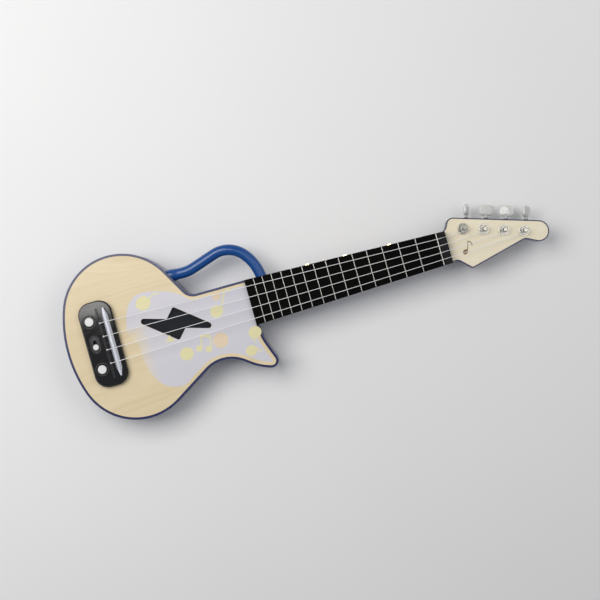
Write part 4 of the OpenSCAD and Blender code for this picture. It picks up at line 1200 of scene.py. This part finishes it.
# %% [markdown]
# ## The sound hole
#
# The bolt-shaped hole is lined in black, and black cloth is glued over the
# pierced plate behind it, so dust stays out and the hole reads as one flat dark
# shape. The cloth is a film with a woven bump.

# %% Sound hole
def make_grille_cloth():
    tree, shader = start_finish("grille_cloth", {"Specular IOR Level": 0.25, "Sheen Weight": 0.15})
    place = place_in(tree)
    threads = []
    for axis in ("X", "Y"):
        threads.append(node(tree, "ShaderNodeTexWave", {"Vector": place, "Scale": 520.0, "Distortion": 0.3},
                            bands_direction=axis, wave_profile="SIN").outputs["Fac"])
    weave = math_of(tree, "MULTIPLY", *threads)
    tone = blend_of(tree, weave, paint_chart(28, 30, 36), paint_chart(46, 50, 58))
    surface(tree, shader, tone, 0.8, 0.1, 0.0)
    bump_into(tree, shader, weave, 0.0001)


make_grille_cloth()
cloth_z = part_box("speaker_grille")[1].z
bolt_line = fine_line(bolt if area_of(bolt) > 0 else bolt[::-1], 3 * MM)
ink_film("grille_cloth", [[bolt_line]], cloth_z + 0.00002, 0.0002, "grille_cloth")
lining = run_in(bolt_line, 0.00025)
grid = bmesh.new()
low_z, high_z = cloth_z + 0.0003, FACE_Z + 0.00006
rings = [[grid.verts.new((x, y, z)) for x, y in line] for line, z in (
    (bolt_line, low_z), (bolt_line, high_z), (lining, high_z), (lining, low_z))]
skin(grid, rings)
link_piece("hole_lining", mesh_from(grid, "hole_lining_mesh"), "grille_cloth", "instrument")
print("cloth at", round(cloth_z, 4))

# %% [markdown]
# ## Beads round the bridge's openings
#
# A moulded housing has a fine raised bead round every opening, where the mould
# halves meet the pins. The beads are coloured a lighter grey than the black
# housing, a painted highlight that draws the buttons and the slider's track out
# of the black. Each is a round section led along a closed outline; cutting them into the housing would need a far
# finer mesh.

# %% Bridge beads
def bead(grid, line, height, radius, around=10):
    """A round bead along a closed outline of (x, y) points."""
    chord = np.roll(line, -1, 0) - np.roll(line, 1, 0)
    chord /= np.linalg.norm(chord, axis=1)[:, None]
    rings = []
    for (x, y), (cx, cy) in zip(line, chord):
        turns = [2 * math.pi * k / around for k in range(around)]
        rings.append([grid.verts.new((x + cy * radius * math.cos(a), y - cx * radius * math.cos(a),
                                      height + radius * math.sin(a))) for a in turns])
    skin(grid, rings)


def oval(x, y, half_w, half_l, steps=20):
    """A slot outline with round ends, lying across the strings."""
    ends = [(y + half_l - half_w, 0.0), (y - half_l + half_w, math.pi)]
    return np.array([(x + half_w * math.cos(start + math.pi * k / steps),
                      middle + half_w * math.sin(start + math.pi * k / steps))
                     for middle, start in ends for k in range(steps + 1)])


bridge_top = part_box("bridge_housing")[1].z
grid = bmesh.new()
for name in ("upper_button", "lower_button"):
    low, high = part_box(name)
    x, y = (low.x + high.x) / 2, (low.y + high.y) / 2
    bead(grid, dot(x, y, 0.0083, around=64), bridge_top, 0.0006)
    button_x = x
low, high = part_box("slide_switch")
track_y = (low.y + high.y) / 2
bead(grid, oval(button_x, track_y, 0.0061, 0.0115), bridge_top, 0.0006)
bead(grid, oval(button_x + 0.0128, 0, 0.0009, 0.046), bridge_top, 0.0006)
# The beads take the lighter grey, not the housing's black: a painted highlight.
link_piece("bridge_beads", mesh_from(grid, "bridge_beads_mesh"), "grey_plastic_and_painted_highlight", "instrument")
track = [oval(button_x, track_y, 0.0053, 0.0107), oval(button_x, track_y, 0.0024, 0.0062)]
ink_film("slider_track", [track], bridge_top - 0.00098, 0.0001, "grey_plastic_and_painted_highlight")
print("beads round", "2 buttons, 1 track and 1 line")

# %% [markdown]
# ## The headstock's mark
#
# A maker would sign the headstock. Here it carries only a plain eighth note, in
# thin bronze ink.

# %% Headstock mark
head_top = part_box("head_face")[1].z
note = [[dot(0.2125, -0.0120, 0.0030, 1.3, 0.5)], [stroke(smooth_line(
    np.array([(215.6, -11.1), (218.6, -1.1), (219.2, 0.9)]) * MM, 6), 0.9 * MM)]]
flag = [[stroke(smooth_line(np.array([(219.0, 0.9), (222.6, -1.9), (223.4, -5.9)]) * MM, 8), 1.3 * MM)]]
coated("bronze_ink", (150, 122, 84), (128, 100, 66), (176, 150, 110), 0.45, wear=0.2)
ink_film("head_mark", note[:1], head_top, INK_T, "bronze_ink")
ink_film("head_mark_stem", note[1:], head_top, 1.5 * INK_T, "bronze_ink")
ink_film("head_mark_flag", flag, head_top, 2 * INK_T, "bronze_ink")

# %% [markdown]
# ## Light pipes
#
# Each pipe ends in a small clear lens at the neck's side. A turned dome in
# front of the rod gives the light a round edge to come out of.

# %% Light pipes
pipe_low, pipe_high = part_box("light_pipes")
PIPE_D, PIPE_START = 5.0, 16.8
grid = bmesh.new()
pipe_xs = sorted({round((low[0] + high[0]) / 2, 5) for low, high in screw_centres("light_pipes")})
pipe_z = (pipe_low.z + pipe_high.z) / 2
for x in pipe_xs:
    share = (x - at(BOARD_X, 0, 0).x) / ((HEAD_X - BOARD_X) * MM)
    tip = HEEL_HALF * (1 - share) + NUT_HALF * share + 0.95

    def pipe_place(a, b, c):
        return Vector((x + a * MM, c * MM, pipe_z + b * MM))

    r = PIPE_D / 2
    dome = [(r, tip - 0.9), (r * 0.94, tip - 0.55), (r * 0.78, tip - 0.25), (r * 0.5, tip - 0.06), (r * 0.2, tip)]
    lathe(grid, pipe_place, [(0, PIPE_START), (r, PIPE_START), *dome, (0, tip)], 28)
link_piece("lit_pipes", mesh_from(grid, "lit_pipes_mesh", 50), "clear_plastic", "instrument",
           ["light_pipes"])
print("light pipes at", pipe_xs)

# %% [markdown]
# ## Finishes for the parts that keep their designed shape
#
# The inner works are simple machined or moulded shapes, mostly out of sight.
# They keep the design's mesh and get the finish of their material.

# %% Finish the remaining design parts
slot_of = {part["node"]: part["material_slot"] for part in frame["record"]["subparts"]}
for name, part in frame["nodes"].items():
    if not part.hide_render:
        part.data.materials.clear()
        part.data.materials.append(FINISHES[slot_of[name]])
print("design parts shown:", sum(not p.hide_render for p in frame["nodes"].values()))

# %% [markdown]
# ## Floor and light
#
# A plain pale floor, one broad soft light above and to the left, a weaker one
# from the right, and a pale sky. The floor is seen only from above and has an
# opening that the body covers, so light reaches the back of the instrument too.

# %% Floor
def make_floor():
    tree, shader = start_finish("pale_floor", {"Specular IOR Level": 0.2})
    place = place_in(tree)
    patch = noise_of(tree, place, 3.0, 4.0)
    tone = blend_of(tree, patch, paint_chart(250, 250, 250), paint_chart(244, 245, 246))
    tree.links.new(tone, shader.inputs["Base Color"])
    rough = node(tree, "ShaderNodeMapRange", {"Value": patch, "To Min": 0.7, "To Max": 0.85}).outputs[0]
    tree.links.new(rough, shader.inputs["Roughness"])
    clear = node(tree, "ShaderNodeBsdfTransparent").outputs[0]
    below = node(tree, "ShaderNodeNewGeometry").outputs["Backfacing"]
    both = node(tree, "ShaderNodeMixShader", {0: below, 1: shader.outputs[0], 2: clear}).outputs[0]
    tree.links.new(both, tree.nodes["Material Output"].inputs["Surface"])
    grid = bmesh.new()
    edge = np.array([(-4, -4), (4, -4), (4, 4), (-4, 4)], float)
    opening = run_in(fine_line(outline, 6 * MM), 2.5 * MM)[::-1]
    lines = [[Vector((x, y, -0.0002)) for x, y in line] for line in (edge, opening)]
    corners = [grid.verts.new(point) for line in lines for point in line]
    for tri in tessellate_polygon(lines):
        grid.faces.new([corners[k] for k in tri])
    bmesh.ops.recalc_face_normals(grid, faces=grid.faces)
    if sum(f.normal.z for f in grid.faces) < 0:
        bmesh.ops.reverse_faces(grid, faces=grid.faces)
    mesh = to_mesh(grid, "floor")
    mesh.materials.append(FINISHES["pale_floor"])
    floor = bpy.data.objects.new("floor", mesh)
    scene.collection.objects.link(floor)
    floor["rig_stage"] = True


make_floor()


# %% Lights
def soft_light(name, place, aim, size, power, colour=(1, 1, 1)):
    lamp = bpy.data.lights.new(name, "AREA")
    lamp.shape = "RECTANGLE"
    lamp.size, lamp.size_y = size
    lamp.energy = power
    lamp.color = colour
    holder = bpy.data.objects.new(name, lamp)
    holder.location = place
    holder.rotation_euler = (Vector(aim) - Vector(place)).to_track_quat("-Z", "Y").to_euler()
    scene.collection.objects.link(holder)


LIGHT_Z, WARM = 1.5, (1.0, 0.985, 0.96)
for name, x, y, size, power in (("key", -0.85, 0.71, (1.5, 1.24), 23), ("fill", 1.25, 0.25, (1.6, 1.6), 8.5)):
    soft_light(name, (x, y, LIGHT_Z), (x, y, 0), size, power, WARM)
sky = bpy.data.worlds.new("pale sky")
sky.use_nodes = True
sky.node_tree.nodes["Background"].inputs["Color"].default_value = (0.93, 0.95, 1.0, 1)
sky.node_tree.nodes["Background"].inputs["Strength"].default_value = 0.24
scene.world = sky
scene.view_settings.view_transform = "Standard"

# %% [markdown]
# ## The size of the dressed model
#
# The box round every shown piece, the floor left out, is measured.

# %% Sizes
low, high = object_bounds()
